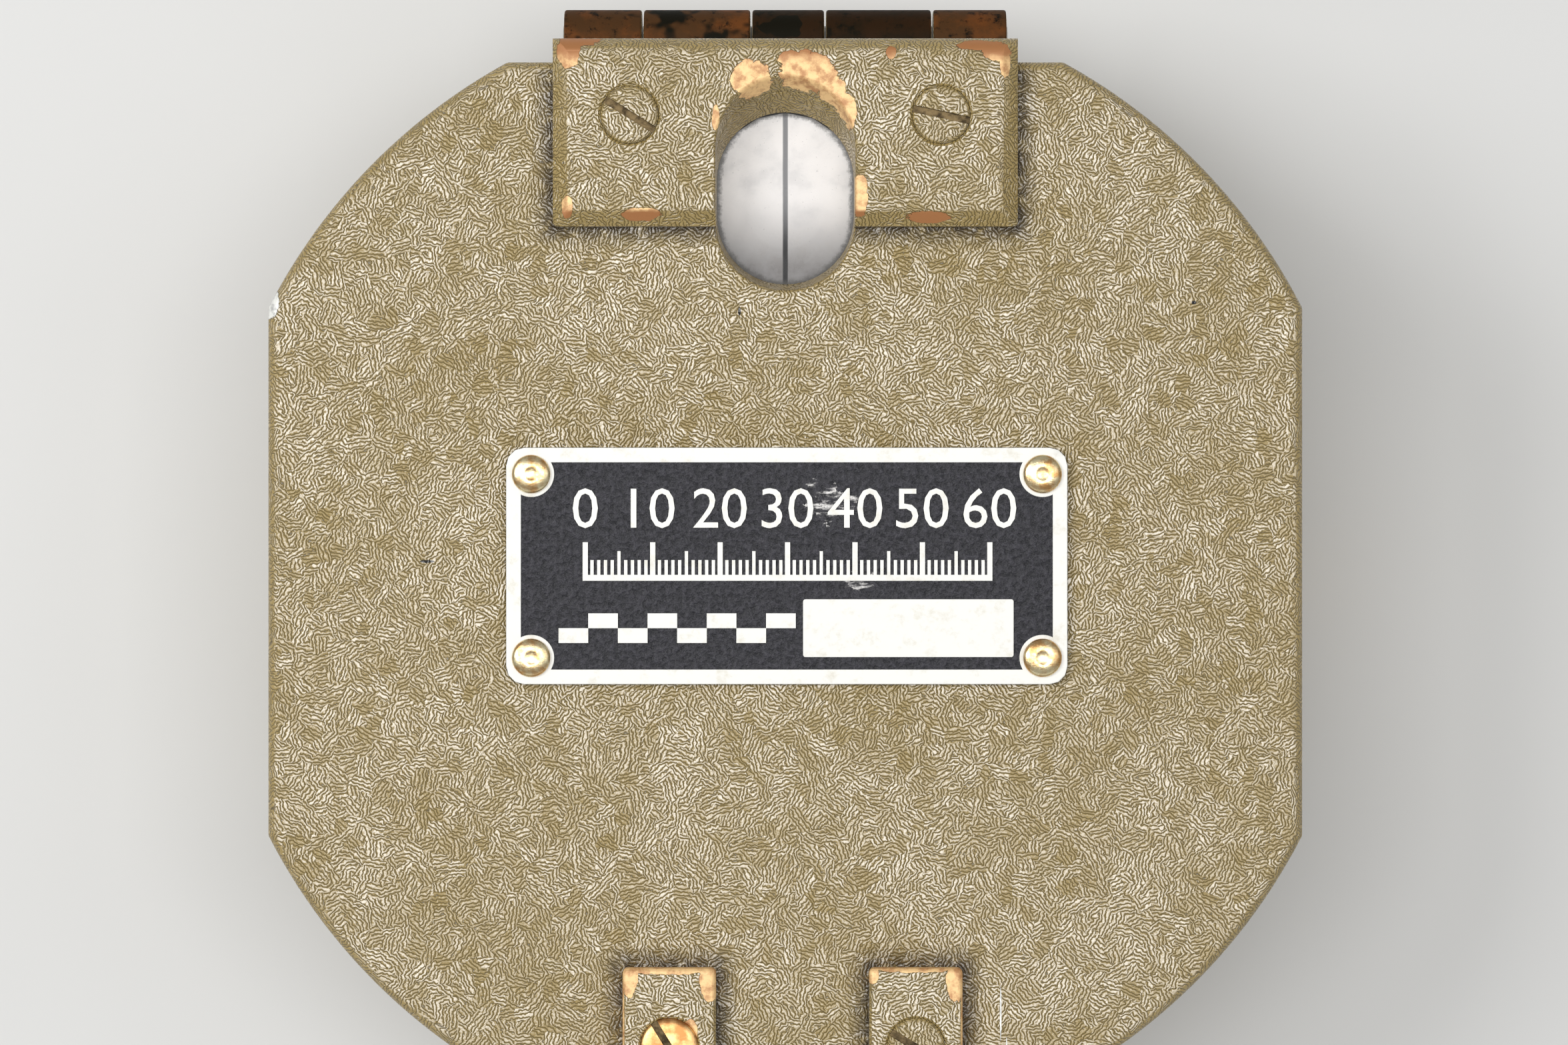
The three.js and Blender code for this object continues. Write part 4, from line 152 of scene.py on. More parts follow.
class Finish:
    """One material: a Principled shader and the nodes that vary it over the piece."""

    def __init__(self, name, constants=None):
        self.material = bpy.data.materials.new(name)
        self.material.use_nodes = True
        self.tree = self.material.node_tree
        self.shader = self.tree.nodes["Principled BSDF"]
        self.point = None
        self.set(constants or {})

    def connect(self, node, inputs):
        for key, value in inputs.items():
            socket = node.inputs[key]
            if isinstance(value, Value):
                self.tree.links.new(value.socket, socket)
            else:
                socket.default_value = value

    def node(self, kind, settings, inputs, output=0):
        """Any node: its settings first, then the values or links of its sockets."""
        node = self.tree.nodes.new(kind)
        for key, value in settings.items():
            setattr(node, key, value)
        self.connect(node, inputs)
        return Value(self, node.outputs[output])

    def vector(self, operation, inputs, output=0):
        return self.node("ShaderNodeVectorMath", {"operation": operation}, inputs, output)

    def place(self):
        """The point on the piece in millimetres, as a vector that rides with the piece."""
        if self.point is None:
            metres = self.node("ShaderNodeTexCoord", {}, {}, "Object")
            self.point = self.vector("SCALE", {0: metres, "Scale": 1 / MM})
        return self.point

    def xyz(self):
        split = self.node("ShaderNodeSeparateXYZ", {}, {0: self.place()})
        return [Value(self, split.socket.node.outputs[i]) for i in range(3)]

    def noise(self, scale, detail=2, roughness=0.5, vector=None):
        inputs = {"Vector": vector or self.place(), "Scale": scale, "Detail": detail, "Roughness": roughness}
        return self.node("ShaderNodeTexNoise", {}, inputs)

    def mix(self, share, first, second):
        """Colour mix, from first at 0 to second at 1."""
        return self.node("ShaderNodeMix", {"data_type": "RGBA"}, {0: share, 6: first, 7: second}, 2)

    def blend(self, share, first, second):
        """Number mix, from first at 0 to second at 1."""
        return self.node("ShaderNodeMix", {"data_type": "FLOAT"}, {0: share, 2: first, 3: second}, 0)

    def relief(self, height, depth_mm):
        """Bump from a height of 0 to 1 that stands depth_mm tall."""
        return self.node("ShaderNodeBump", {}, {"Height": height, "Distance": depth_mm * MM})

    def set(self, inputs):
        self.connect(self.shader, inputs)


def clouded(name, tones, scale, detail=2, rough=None, depth_mm=None, constants=None):
    """A finish of two tones in a soft cloud, which may also vary its roughness and its height."""
    finish = Finish(name, constants)
    cloud = finish.noise(scale, detail)
    finish.set({"Base Color": finish.mix(cloud, *tones)})
    if rough:
        finish.set({"Roughness": finish.blend(cloud, *rough)})
    if depth_mm:
        finish.set({"Normal": finish.relief(cloud, depth_mm)})
    return finish


paper_tones = (srgb(216, 216, 214), srgb(226, 226, 225))
seamless_paper = clouded("seamless_paper", paper_tones, 0.02, constants={"Roughness": 0.9})
bpy.ops.mesh.primitive_grid_add(x_subdivisions=4, y_subdivisions=4, size=PAPER_SIZE)
studio_floor = bpy.context.object
studio_floor.name = "studio_floor"
studio_floor.data.materials.append(seamless_paper.material)

# Cover
# An aluminium casting, turned hollow for the mirror, with the olive wrinkle enamel baked on it.
# The enamel shrinks into ridges a quarter of a millimetre apart, in patches that each run their
# own way. Its valleys are painted dark as shade, the ridge tops on flat and upright faces are
# painted pale as a sheen of light, and a shadow is painted on the lid next to fitted pieces.
PAINT_OLIVE = srgb(162, 140, 86)
PAINT_RIDGE_SHEEN = srgb(237, 226, 206)
PAINT_SHADOW = srgb(54, 42, 26)
SHADOW_WIDTH_MM = 1.8
PAINT_VALLEY_SHADE = srgb(60, 50, 24)
PAINT_DENT = srgb(37, 34, 29)
RIDGES_PER_MM = 4.2
PATCHES_PER_MM = 1.1
SWAYS_PER_MM = 3.0
SWAY_MM = 0.42
RIDGE_DEPTH_MM = 0.07
BARE_ALUMINIUM = (srgb(245, 245, 239), srgb(180, 180, 178))
CORNER_RADIUS_MM = 39.3
CORNER_FILLET_MM = 0.7
COVER_EDGE_MM = 0.85
COVER_ROOF_MM = 2
COVER_WALL_MM = 2.2
RIM_EASE_MM = 0.15
HOLLOW_EASE_MM = 0.2
ROUND_STEPS = 160
NOTCH_MM = (5.8, 5.5)
SIGHT_HOLE_MM = (9.4, 18.6, 33.4)
SIGHT_GLASS_MM = (9.3, 19.5, 31.2)
HOLE_EDGE_MM = 0.22
CORNER_CHIP_MM = (-34.9, 18.2, 0.7, 1.1)
SCRATCHES_MM = ((14.55, -29.8, 0.06, 1.9), (14.95, -32.4, 0.05, 0.9))
DENTS_MM = ((-24.2, 0.7, 0.5, 0.1), (27.6, 18.2, 0.16, 0.12), (-3.1, 17.6, 0.1, 0.3))
FITTED_ON_COVER = ("cover_hinge_leaf", "front_sight_bracket_left", "front_sight_bracket_right")


def box_mm(node):
    """The low and the high corner of a node's box, in millimetres."""
    return [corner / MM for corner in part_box(node)]


def wrinkles(finish):
    """Height of the enamel's ridges and a tone from patch to patch: each patch runs its own way."""
    point = finish.place()
    sway = finish.node("ShaderNodeTexNoise", {}, {"Vector": point, "Scale": SWAYS_PER_MM, "Detail": 1.0}, 1)
    centred = finish.vector("SUBTRACT", {0: sway, 1: (0.5, 0.5, 0.5)})
    warped = finish.vector("MULTIPLY_ADD", {0: centred, 1: (SWAY_MM, SWAY_MM, SWAY_MM), 2: point})
    patch = finish.node("ShaderNodeTexVoronoi", {}, {"Vector": warped, "Scale": PATCHES_PER_MM}, "Color")
    centre = Value(finish, patch.socket.node.outputs["Position"])
    normal = finish.node("ShaderNodeTexCoord", {}, {}, "Normal")
    pointer = finish.vector("SUBTRACT", {0: patch, 1: (0.5, 0.5, 0.5)})
    rise = finish.vector("DOT_PRODUCT", {0: pointer, 1: normal}, "Value")
    flat = finish.vector("SUBTRACT", {0: pointer, 1: finish.vector("SCALE", {0: normal, "Scale": rise})})
    across = finish.vector("NORMALIZE", {0: flat})
    offset = finish.vector("SUBTRACT", {0: warped, 1: centre})
    phase = finish.vector("DOT_PRODUCT", {0: offset, 1: across}, "Value")
    tone = finish.vector("DOT_PRODUCT", {0: patch, 1: (0.0, 0.5, 0.5)}, "Value")
    return abs((phase * (math.pi * RIDGES_PER_MM)).math("SINE")), tone


def spots(finish, places, ragged, heights=None):
    """1 inside ellipses of middle x, middle y, half width and half height, between two heights."""
    x, y, z = finish.xyz()
    nearest = None
    for middle_x, middle_y, half_x, half_y in places:
        from_x = x.math("MULTIPLY_ADD", 1 / half_x, -middle_x / half_x)
        from_y = y.math("MULTIPLY_ADD", 1 / half_y, -middle_y / half_y)
        far = from_x * from_x + from_y * from_y
        nearest = far if nearest is None else nearest.least(far)
    inside = (nearest + ragged).between(1.06, 0.94)
    if heights:
        low, high = heights
        inside = inside * (z + ragged).between(low - 0.05, low + 0.05)
        inside = inside * (z + ragged).between(high + 0.05, high - 0.05)
    return inside


def scuffed(finish, light, dark):
    """The colour of bare metal, of two tones in a fine cloudy mix."""
    return finish.mix(finish.noise(1.4, 4, 0.65).between(0.38, 0.68), light, dark)


def grimy(finish, nodes):
    """1 on the lid along the edges of these nodes, where a shadow is painted, fading to 0 further out."""
    x, y, z = finish.xyz()
    nearest = None
    for node in nodes:
        low, high = box_mm(node)
        over_x = (abs(x - (low.x + high.x) / 2) - (high.x - low.x) / 2).most(0.0)
        over_y = (abs(y - (low.y + high.y) / 2) - (high.y - low.y) / 2).most(0.0)
        far = (over_x * over_x + over_y * over_y).math("SQRT")
        nearest = far if nearest is None else nearest.least(far)
    mottle = finish.noise(1.1, 5, 0.7).between(0.25, 0.55)
    return nearest.between(SHADOW_WIDTH_MM, -0.3) * mottle * z.between(cover_top - 0.1, cover_top - 0.02)


def wrinkle_paint(name, bare=None, dents=(), beside=(), more_sheen=0.0):
    """The enamel; bare gives where it is knocked off and the colour of the metal that shows there.

    A shadow is painted next to the given nodes; the last argument adds to the pale painted sheen.
    """
    finish = Finish(name, {"IOR": 1.5, "Specular IOR Level": 1.0})
    wave, tone = wrinkles(finish)
    broad = finish.noise(0.12, 2)
    normal = finish.node("ShaderNodeTexCoord", {}, {}, "Normal")
    level = abs(Value(finish, finish.node("ShaderNodeSeparateXYZ", {}, {0: normal}).socket.node.outputs[2]))
    # Painted highlight: the ridge tops on flat and upright faces are painted pale as a sheen of light.
    sheen_faces = level.between(0.84, 0.97).most(level.between(0.45, 0.2) * 0.75)
    sheen_streaks = wave.between(0.5, 1.05) * sheen_faces * (broad + tone).between(1.65 + more_sheen, 0.4 + more_sheen)
    # Painted shade: the valleys between the ridges are painted dark.
    colour = finish.mix(wave.between(-0.15, 0.5), PAINT_VALLEY_SHADE, PAINT_OLIVE)
    colour = finish.mix(sheen_streaks, colour, PAINT_RIDGE_SHEEN)
    # Painted shadow: the lid is darkened next to the fitted pieces.
    if beside:
        colour = finish.mix(grimy(finish, beside), colour, PAINT_SHADOW)
    if dents:
        colour = finish.mix(spots(finish, dents, finish.noise(4, 2) * 0.8 - 0.4), colour, PAINT_DENT)
    rough = finish.blend(broad, 0.35, 0.27)
    height = wave
    if bare:
        shown, metal_colour = bare(finish)
        colour = finish.mix(shown, colour, metal_colour)
        rough = finish.blend(shown, rough, 0.55)
        height = wave * (1 - shown) - 1.5 * shown
        finish.set({"Metallic": shown * 0.3})
    finish.set({"Base Color": colour, "Roughness": rough, "Normal": finish.relief(height, RIDGE_DEPTH_MM)})
    return finish


def skinned(rings, capped=True):
    """Rings of points in millimetres, each as long as the next, skinned into one closed solid."""
    count = len(rings[0])
    points = [[c * MM for c in point] for ring in rings for point in ring]
    levels = len(rings) - 1 if capped else len(rings)
    faces = [tuple(reversed(range(count))), tuple(range(len(points) - count, len(points)))] if capped else []
    for level in range(levels):
        low, high = level * count, (level + 1) % len(rings) * count
        for i in range(count):
            j = (i + 1) % count
            faces.append((low + i, low + j, high + j, high + i))
    mesh = bpy.data.meshes.new("skin")
    mesh.from_pydata(points, [], faces)
    return mesh


def rounded(height, radius, side=1, steps=6):
    """Inset and height of an edge rounded by radius below (side 1) or above (side -1) a flat."""
    turns = [k / steps * math.pi / 2 for k in range(steps + 1)]
    rows = [(radius * (1 - math.cos(t)), height - side * radius * (1 - math.sin(t))) for t in turns]
    return rows if side > 0 else rows[::-1]


def block(x0, x1, y0, y1, z0, z1):
    corners = [(x0, y0), (x1, y0), (x1, y1), (x0, y1)]
    return skinned([[(x, y, z) for x, y in corners] for z in (z0, z1)])


def turned(profile, steps=96, bored=False):
    """Profile of radius and height spun about Z; a bored one is a closed loop, anticlockwise."""
    turns = [k / steps * math.tau for k in range(steps)]
    return skinned([[(r * math.cos(t), r * math.sin(t), z) for t in turns] for r, z in profile], not bored)


def moved(mesh, x=0, y=0, z=0, turn=None):
    """The mesh turned by a rotation of its own, then set down at x, y, z in millimetres."""
    mesh.transform(Matrix.Translation((x * MM, y * MM, z * MM)) @ (turn or Matrix.Identity(4)))
    return mesh


def worked(operation, base, *others):
    """Base with the other meshes cut from it (DIFFERENCE), joined to it (UNION) or INTERSECTed."""
    holder = bpy.data.objects.new("blank", base)
    scene.collection.objects.link(holder)
    tools = [bpy.data.objects.new("tool", other) for other in others]
    for tool in tools:
        scene.collection.objects.link(tool)
        step = holder.modifiers.new("step", "BOOLEAN")
        step.operation, step.solver, step.object = operation, "MANIFOLD", tool
    graph = bpy.context.evaluated_depsgraph_get()
    result = bpy.data.meshes.new_from_object(holder.evaluated_get(graph))
    for thing in (holder, *tools):
        bpy.data.objects.remove(thing)
    return result


def piece(name, mesh, finish, body, slot, *nodes, sharp=32):
    """A finished piece that rides on a body and stands for its nodes; its slot argument is not used."""
    mesh.name = name
    mesh.materials.clear()
    mesh.materials.append(finish.material)
    mesh.shade_smooth()
    mesh.set_sharp_from_angle(angle=math.radians(sharp))
    thing = bpy.data.objects.new(name, mesh)
    scene.collection.objects.link(thing)
    weigh = thing.modifiers.new("flat_faces_stay_flat", "WEIGHTED_NORMAL")
    weigh.keep_sharp = True
    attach(thing, body)
    if nodes:
        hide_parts(*nodes)
    return thing


def case_ring(inset, height):
    """The case's outline: a circle cut flat at sides and ends, its eight corners eased."""
    corner = CORNER_FILLET_MM
    reach = CORNER_RADIUS_MM - inset - corner
    first = math.acos((half_width - inset - corner) / reach)
    last = math.asin((half_length - inset - corner) / reach)
    normals = [first * k / 4 for k in range(4)]
    normals += [first + (last - first) * k / 24 for k in range(25)]
    normals += [last + (math.pi / 2 - last) * k / 4 for k in range(1, 5)]
    quarter = []
    for normal in normals:
        base = min(max(normal, first), last)
        x = reach * math.cos(base) + corner * math.cos(normal)
        y = reach * math.sin(base) + corner * math.sin(normal)
        quarter.append((x, y))
    back = quarter[::-1]
    ring = quarter + [(-x, y) for x, y in back]
    ring += [(-x, -y) for x, y in quarter] + [(x, -y) for x, y in back]
    return [(x, y, height) for x, y in ring]


def sight_ring(height, flare=0.0, steps=24):
    """The oval hole's outline at a height: it widens from the glass up to the hinge leaf's top."""
    share = (height - glass_top) / (leaf_top - glass_top)
    wide, low, high = [a + (b - a) * share for a, b in zip(SIGHT_GLASS_MM, SIGHT_HOLE_MM)]
    half = wide / 2 + flare
    turns = [k / steps * math.pi for k in range(steps + 1)]
    top = [(half * math.cos(t), high - wide / 2 + half * math.sin(t), height) for t in turns]
    return top + [(-half * math.cos(t), low + wide / 2 - half * math.sin(t), height) for t in turns]


def sight_cutter(low, rim, steps=4):
    """Cutter of the oval hole from low up through a surface at rim, whose edge it rounds."""
    turns = [k / steps * math.pi / 2 for k in range(steps + 1)]
    rows = [(HOLE_EDGE_MM * (1 - math.cos(t)), rim - HOLE_EDGE_MM * (1 - math.sin(t))) for t in turns]
    return skinned([sight_ring(low)] + [sight_ring(z, flare) for flare, z in rows]
                   + [sight_ring(rim + 1, HOLE_EDGE_MM)])


half_width = cover_high.x / MM
half_length = cover_high.y / MM
cover_rim = cover_low.z / MM
cover_top = cover_high.z / MM
leaf_top = box_mm("cover_hinge_leaf")[1].z
glass_top = cover_top - COVER_ROOF_MM
hollow_radius = half_length - COVER_WALL_MM


def cover_bare(finish):
    ragged = finish.noise(3, 3) * 0.9 - 0.45
    shown = spots(finish, (CORNER_CHIP_MM, *SCRATCHES_MM), ragged, (cover_top - 1.6, cover_top + 1))
    return shown, scuffed(finish, *BARE_ALUMINIUM)


cover_paint = wrinkle_paint("cover_wrinkle_paint", cover_bare, DENTS_MM, FITTED_ON_COVER)
shell = skinned([case_ring(RIM_EASE_MM, cover_rim), case_ring(0, cover_rim + RIM_EASE_MM)]
                + [case_ring(inset, z) for inset, z in rounded(cover_top, COVER_EDGE_MM)])
hollow_mouth = hollow_radius + HOLLOW_EASE_MM
hollow = turned([(hollow_mouth, cover_rim - 1), (hollow_mouth, cover_rim),
                 (hollow_radius, cover_rim + HOLLOW_EASE_MM), (hollow_radius, glass_top)], ROUND_STEPS)
notch = block(-NOTCH_MM[0], NOTCH_MM[0], -half_length - 1, -half_length / 2,
              cover_rim - 1, cover_rim + NOTCH_MM[1])
shell = worked("DIFFERENCE", shell, hollow, notch, sight_cutter(glass_top - 1, cover_top))
piece("cover_casting", shell, cover_paint, "cover", "painted_casting", "cover")

# Hinge leaf on the cover
# A brass leaf, bevelled on three sides, bent over the cover's end and rolled into three knuckles.
# The enamel has chipped to bare brass at its corners and round the sighting hole.
FITTING_GAP_MM = 0.05
LEAF_THICKNESS_MM = 1.4
LEAF_LEG_MM = 1.5
LEAF_BEVEL_MM = (1.1, 0.8)
LEAF_EASE_MM = 0.12
KNUCKLES_MM = (5.5, 7.5, 5.1, 7.4, 5.2)
KNUCKLE_GAP_MM = 0.14
BARREL_RADIUS_MM = 2.1
BARREL_EASE_MM = 0.18
SCREW_SEAT_MM = (1.97, 0.75)
LEAF_SEAT_EDGE_MM = (0.15, 0.1)
LEAF_SCREWS_MM = (10.5, 30.8)
BARE_BRASS = (srgb(250, 210, 149), srgb(192, 138, 87))
BROWNED_BRASS = srgb(176, 117, 66)
LEAF_CHIPS_MM = (
    (-14.6, 35.2, 0.8, 1.3), (-13.7, 35.9, 1.2, 0.5), (-14.7, 24.6, 0.4, 0.75),
    (14.2, 35.1, 1.0, 0.7), (12.9, 35.5, 1.5, 0.35), (14.8, 34.3, 0.35, 1.0),
    (-2.3, 33.2, 1.4, 1.4), (1.5, 33.7, 1.9, 1.4), (0.4, 34.6, 0.9, 0.5), (3.2, 32.2, 0.9, 1.4),
    (4.2, 31.0, 0.6, 1.3), (5.0, 25.4, 0.6, 1.5), (-9.7, 24.1, 1.3, 0.45),
    (9.6, 23.9, 1.5, 0.4), (7.1, 35.0, 0.35, 0.5), (-4.7, 30.6, 0.25, 0.9),
)
CHIP_DEPTH_MM = 1.2
BRONZE = (srgb(76, 51, 29), srgb(104, 62, 30))
BRONZE_DARK = srgb(19, 17, 12)
# Olive enamel left on the knuckles, painted near black as shade.
SHADED_OLIVE_REST = srgb(22, 20, 12)
OLIVE_KNUCKLES_MM = (-1.9, 10.6)
ALONG_X = Matrix.Rotation(math.pi / 2, 4, "Y")
ALONG_Y = Matrix.Rotation(-math.pi / 2, 4, "X")


def leaf_bare(finish):
    ragged = finish.noise(1.5, 4, 0.6) * 1.7 - 0.85
    y = finish.xyz()[1]
    browned = (y + ragged * 0.5).between(34.2, 35.1).most((y + ragged * 0.2).between(24.5, 24.2))
    shown = spots(finish, LEAF_CHIPS_MM, ragged, (leaf_high.z - CHIP_DEPTH_MM, leaf_high.z + 1))
    return shown, finish.mix(browned, scuffed(finish, *BARE_BRASS), BROWNED_BRASS)


def column(radius, low, high, ease):
    """Profile of a round rod or disc from low to high, its two edges eased."""
    ends = rounded(low, ease, -1, 3) + rounded(high, ease, 1, 3)
    return [(radius - inset, height) for inset, height in ends]


def rod(radius, low, high, ease, y, z, steps=48):
    """A round rod with eased ends, along X through the point y, z."""
    return moved(turned(column(radius, low, high, ease), steps), 0, y, z, ALONG_X)


def bent_leaf(x0, x1, side, inner, under, thick, leg, low):
    """A strap along Y over the case's end: flat top, round bend and a leg down to low."""
    wall = half_length + FITTING_GAP_MM
    face = wall + leg
    top = under + thick
    turns = [k / 10 * math.pi / 2 for k in range(11)]
    bend = [(face - thick + thick * math.sin(t), under + thick * math.cos(t)) for t in turns]
    points = [(inner, under), (inner, top)] + bend + [(face, low), (wall, low), (wall, under)]
    order = points if side < 0 else points[::-1]
    return skinned([[(x, side * y, z) for y, z in order] for x in (x0, x1)])


def rectangle_ring(x0, x1, y0, y1, inset, z, corner):
    turns = [k / 3 * math.pi / 2 for k in range(4)]
    middles = ((x1, y1, 0), (x0, y1, 1), (x0, y0, 2), (x1, y0, 3))
    ring = []
    for x, y, quarter in middles:
        across = (inset + corner) * (1 if x == x0 else -1)
        along = (inset + corner) * (1 if y == y0 else -1)
        for turn in turns:
            angle = turn + quarter * math.pi / 2
            round_x, round_y = corner * math.cos(angle), corner * math.sin(angle)
            ring.append((x + across + round_x, y + along + round_y, z))
    return ring


def rectangle_solid(x0, x1, y0, y1, rows, corner=0.3):
    """A block with rounded upright edges, and an inset and a height for each of its rows."""
    return skinned([rectangle_ring(x0, x1, y0, y1, inset, z, corner) for inset, z in rows])


def bevel_rows(top, width, drop, ease):
    """Inset and height up a flat bevel whose two edges are eased."""
    return [(0, top - drop - ease), (0.3 * ease, top - drop),
            (width - ease, top - 0.6 * ease), (width + ease, top)]


leaf_low, leaf_high = box_mm("cover_hinge_leaf")
hinge_y = leaf_high.y - BARREL_RADIUS_MM
hinge_z = leaf_low.z + BARREL_RADIUS_MM
knuckle_edges = [sum(KNUCKLES_MM[:i]) - sum(KNUCKLES_MM) / 2 for i in range(6)]


def barrels(which):
    half_gap = KNUCKLE_GAP_MM / 2
    spans = [(knuckle_edges[i] + half_gap, knuckle_edges[i + 1] - half_gap) for i in which]
    return [rod(BARREL_RADIUS_MM, low, high, BARREL_EASE_MM, hinge_y, hinge_z) for low, high in spans]


def knuckle_rooms(which):
    reach = BARREL_RADIUS_MM + 0.3
    return [block(knuckle_edges[i] - KNUCKLE_GAP_MM / 2, knuckle_edges[i + 1] + KNUCKLE_GAP_MM / 2,
                  half_length - 1, leaf_high.y + 1, hinge_z - reach, hinge_z + reach) for i in which]


def bare_knuckles(thing, finish):
    """Gives the faces near the hinge pin a second finish, where the enamel never held."""
    thing.data.materials.append(finish.material)
    for face in thing.data.polygons:
        away = math.hypot(face.center.y / MM - hinge_y, face.center.z / MM - hinge_z)
        if away < BARREL_RADIUS_MM + 0.03 and abs(face.normal.x) < 0.9:
            face.material_index = 1


leaf_paint = wrinkle_paint("leaf_wrinkle_paint", leaf_bare)
knuckle_bronze = Finish("knuckle_bronze", {"Specular IOR Level": 0.06})
tarnish = knuckle_bronze.noise(0.35, 5, 0.6)
grime = knuckle_bronze.noise(0.9, 4, 0.7)
olive_rest = knuckle_bronze.noise(0.22, 3, 0.6)
bronze_colour = knuckle_bronze.mix(tarnish.between(0.4, 0.62), *BRONZE)
bronze_colour = knuckle_bronze.mix(grime.between(0.52, 0.68), bronze_colour, BRONZE_DARK)
from_middle = knuckle_bronze.xyz()[0] + olive_rest
olive_from, olive_to = OLIVE_KNUCKLES_MM
middle_knuckles = from_middle.between(olive_from - 0.2, olive_from + 0.2)
middle_knuckles = middle_knuckles * from_middle.between(olive_to + 0.2, olive_to - 0.2)
olive_left = olive_rest.between(0.56, 0.62).most(middle_knuckles * 0.85)
# Painted shade: the olive left on the knuckles is near black.
bronze_colour = knuckle_bronze.mix(olive_left, bronze_colour, SHADED_OLIVE_REST)
knuckle_bronze.set({"Base Color": bronze_colour, "Metallic": olive_rest.between(0.62, 0.5) * 0.1,
                    "Roughness": knuckle_bronze.blend(grime, 0.45, 0.7),
                    "Normal": knuckle_bronze.relief(grime, 0.03)})
seat_radius, seat_depth = SCREW_SEAT_MM
under = cover_top + FITTING_GAP_MM
blank = bent_leaf(-leaf_high.x, leaf_high.x, 1, leaf_low.y, under, LEAF_THICKNESS_MM, LEAF_LEG_MM, hinge_z)
rows = [(0, hinge_z - 5)] + bevel_rows(leaf_high.z, *LEAF_BEVEL_MM, LEAF_EASE_MM)
envelope = rectangle_solid(-leaf_high.x, leaf_high.x, leaf_low.y, leaf_high.y + 3, rows)
blank = worked("INTERSECT", blank, envelope)
edge_out, edge_down = LEAF_SEAT_EDGE_MM
seat = [(seat_radius, leaf_high.z - seat_depth), (seat_radius, leaf_high.z - edge_down),
        (seat_radius + edge_out, leaf_high.z), (seat_radius + edge_out, leaf_high.z + 1)]
seats = [moved(turned(seat, 64), x, LEAF_SCREWS_MM[1]) for x in (-LEAF_SCREWS_MM[0], LEAF_SCREWS_MM[0])]
blank = worked("DIFFERENCE", blank, *knuckle_rooms((1, 3)), sight_cutter(cover_top - 1, leaf_high.z), *seats)
blank = worked("UNION", blank, *barrels((0, 2, 4)))
cover_leaf = piece("cover_hinge_leaf_bent", blank, leaf_paint, "cover", "painted_brass", "cover_hinge_leaf")
bare_knuckles(cover_leaf, knuckle_bronze)

# Hinge leaf on the body
# A brass plate screwed to the end wall, whose two knuckles sit between the cover's three.
# It has the same enamel outside and the same worn, browned knuckles.
WALL_PLATE_EASE_MM = 0.3
SCREW_HOLE_MM = 1.0
BODY_LEAF_SCREWS_MM = ((-10.5, 8.6), (10.5, 8.6))
body_leaf_low, body_leaf_high = box_mm("body_hinge_leaf")
leaf_face = half_length + FITTING_GAP_MM + LEAF_LEG_MM

# The plate is drawn lying down, its outer edges eased, and then stood up against the end wall.
rows = [(0, half_length + FITTING_GAP_MM)] + rounded(leaf_face, WALL_PLATE_EASE_MM)
blank = rectangle_solid(body_leaf_low.x, body_leaf_high.x, -hinge_z, -body_leaf_low.z, rows)
seat = [(SCREW_HOLE_MM, leaf_face - 3.2), (SCREW_HOLE_MM, leaf_face - seat_depth),
        (seat_radius, leaf_face - seat_depth), (seat_radius, leaf_face + 1)]
seats = [moved(turned(seat, 48), x, 0, z, ALONG_Y) for x, z in BODY_LEAF_SCREWS_MM]
blank = worked("DIFFERENCE", moved(blank, turn=ALONG_Y), *knuckle_rooms((0, 2, 4)), *seats)
blank = worked("UNION", blank, *barrels((1, 3)))
brass_paint = wrinkle_paint("brass_wrinkle_paint")
body_leaf = piece("body_hinge_leaf_bent", blank, brass_paint, "body", "painted_brass", "body_hinge_leaf")
bare_knuckles(body_leaf, knuckle_bronze)

# Hinge and sight pins
# Drawn steel rods, greyed with age, pressed through the knuckles that they join.
# They are plain cylinders, so they keep the frame's shape and only take the finish.


def metal(name, light, dark, rough=(0.25, 0.45), grain=0.4, scratch=0.004):
    """Bare or blackened metal: cloudy tone, uneven polish and fine scratches."""
    finish = Finish(name, {"Metallic": 1.0})
    cloud = finish.noise(grain, 4, 0.6)
    stretched = finish.vector("MULTIPLY", {0: finish.place(), 1: (1.0, 14.0, 6.0)})
    fine = finish.noise(2.5, 3, 0.6, stretched)
    colour = finish.mix(cloud.between(0.35, 0.65), light, dark)
    finish.set({"Base Color": colour, "Roughness": finish.blend(fine, *rough),
                "Normal": finish.relief(fine, scratch)})
    return finish


def dress(finish, *nodes):
    """Gives CAD nodes whose shape is right a finish in place of the imported one."""
    for node in nodes:
        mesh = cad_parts[node].data
        mesh.materials.clear()
        mesh.materials.append(finish.material)


satin_steel = metal("satin_steel", srgb(202, 199, 194), srgb(145, 140, 133))
dress(satin_steel, "cover_hinge_pin", "front_sight_pin", "rear_sight_hinge_pin", "rear_sight_leaf_pin")

# Screws
# Slotted brass screws painted over with the case; the driver has worn their slots brown.
# The one in the left sight bracket has lost its paint.
SCREW_HEAD_MM = 1
SCREW_SLOT_MM = (0.5, 0.5)
SCREW_PROFILE_MM = ((0.9, -1.9), (0.9, -0.05), (1.95, 0), (1.95, 0.66), (1.91, 0.76), (1.82, 0.84),
                    (1.55, 0.9), (1.1, 0.95), (0.5, 0.99), (0.12, 1.0))
FACING_FRONT = Matrix.Rotation(math.pi / 2, 4, "X")
SCREWS = (
    ("cover_hinge_screw_left", "cover", -32, None),
    ("cover_hinge_screw_right", "cover", -12, None),
    ("front_sight_bracket_screw_left", "cover", -58, None),
    ("front_sight_bracket_screw_right", "cover", -31, None),
    ("body_hinge_screw_left", "body", 20, ALONG_Y),
    ("body_hinge_screw_right", "body", 75, ALONG_Y),
    ("rear_sight_bracket_screw_left", "body", 40, FACING_FRONT),
    ("rear_sight_bracket_screw_right", "body", 110, FACING_FRONT),
)
BARE_SCREW = "front_sight_bracket_screw_left"


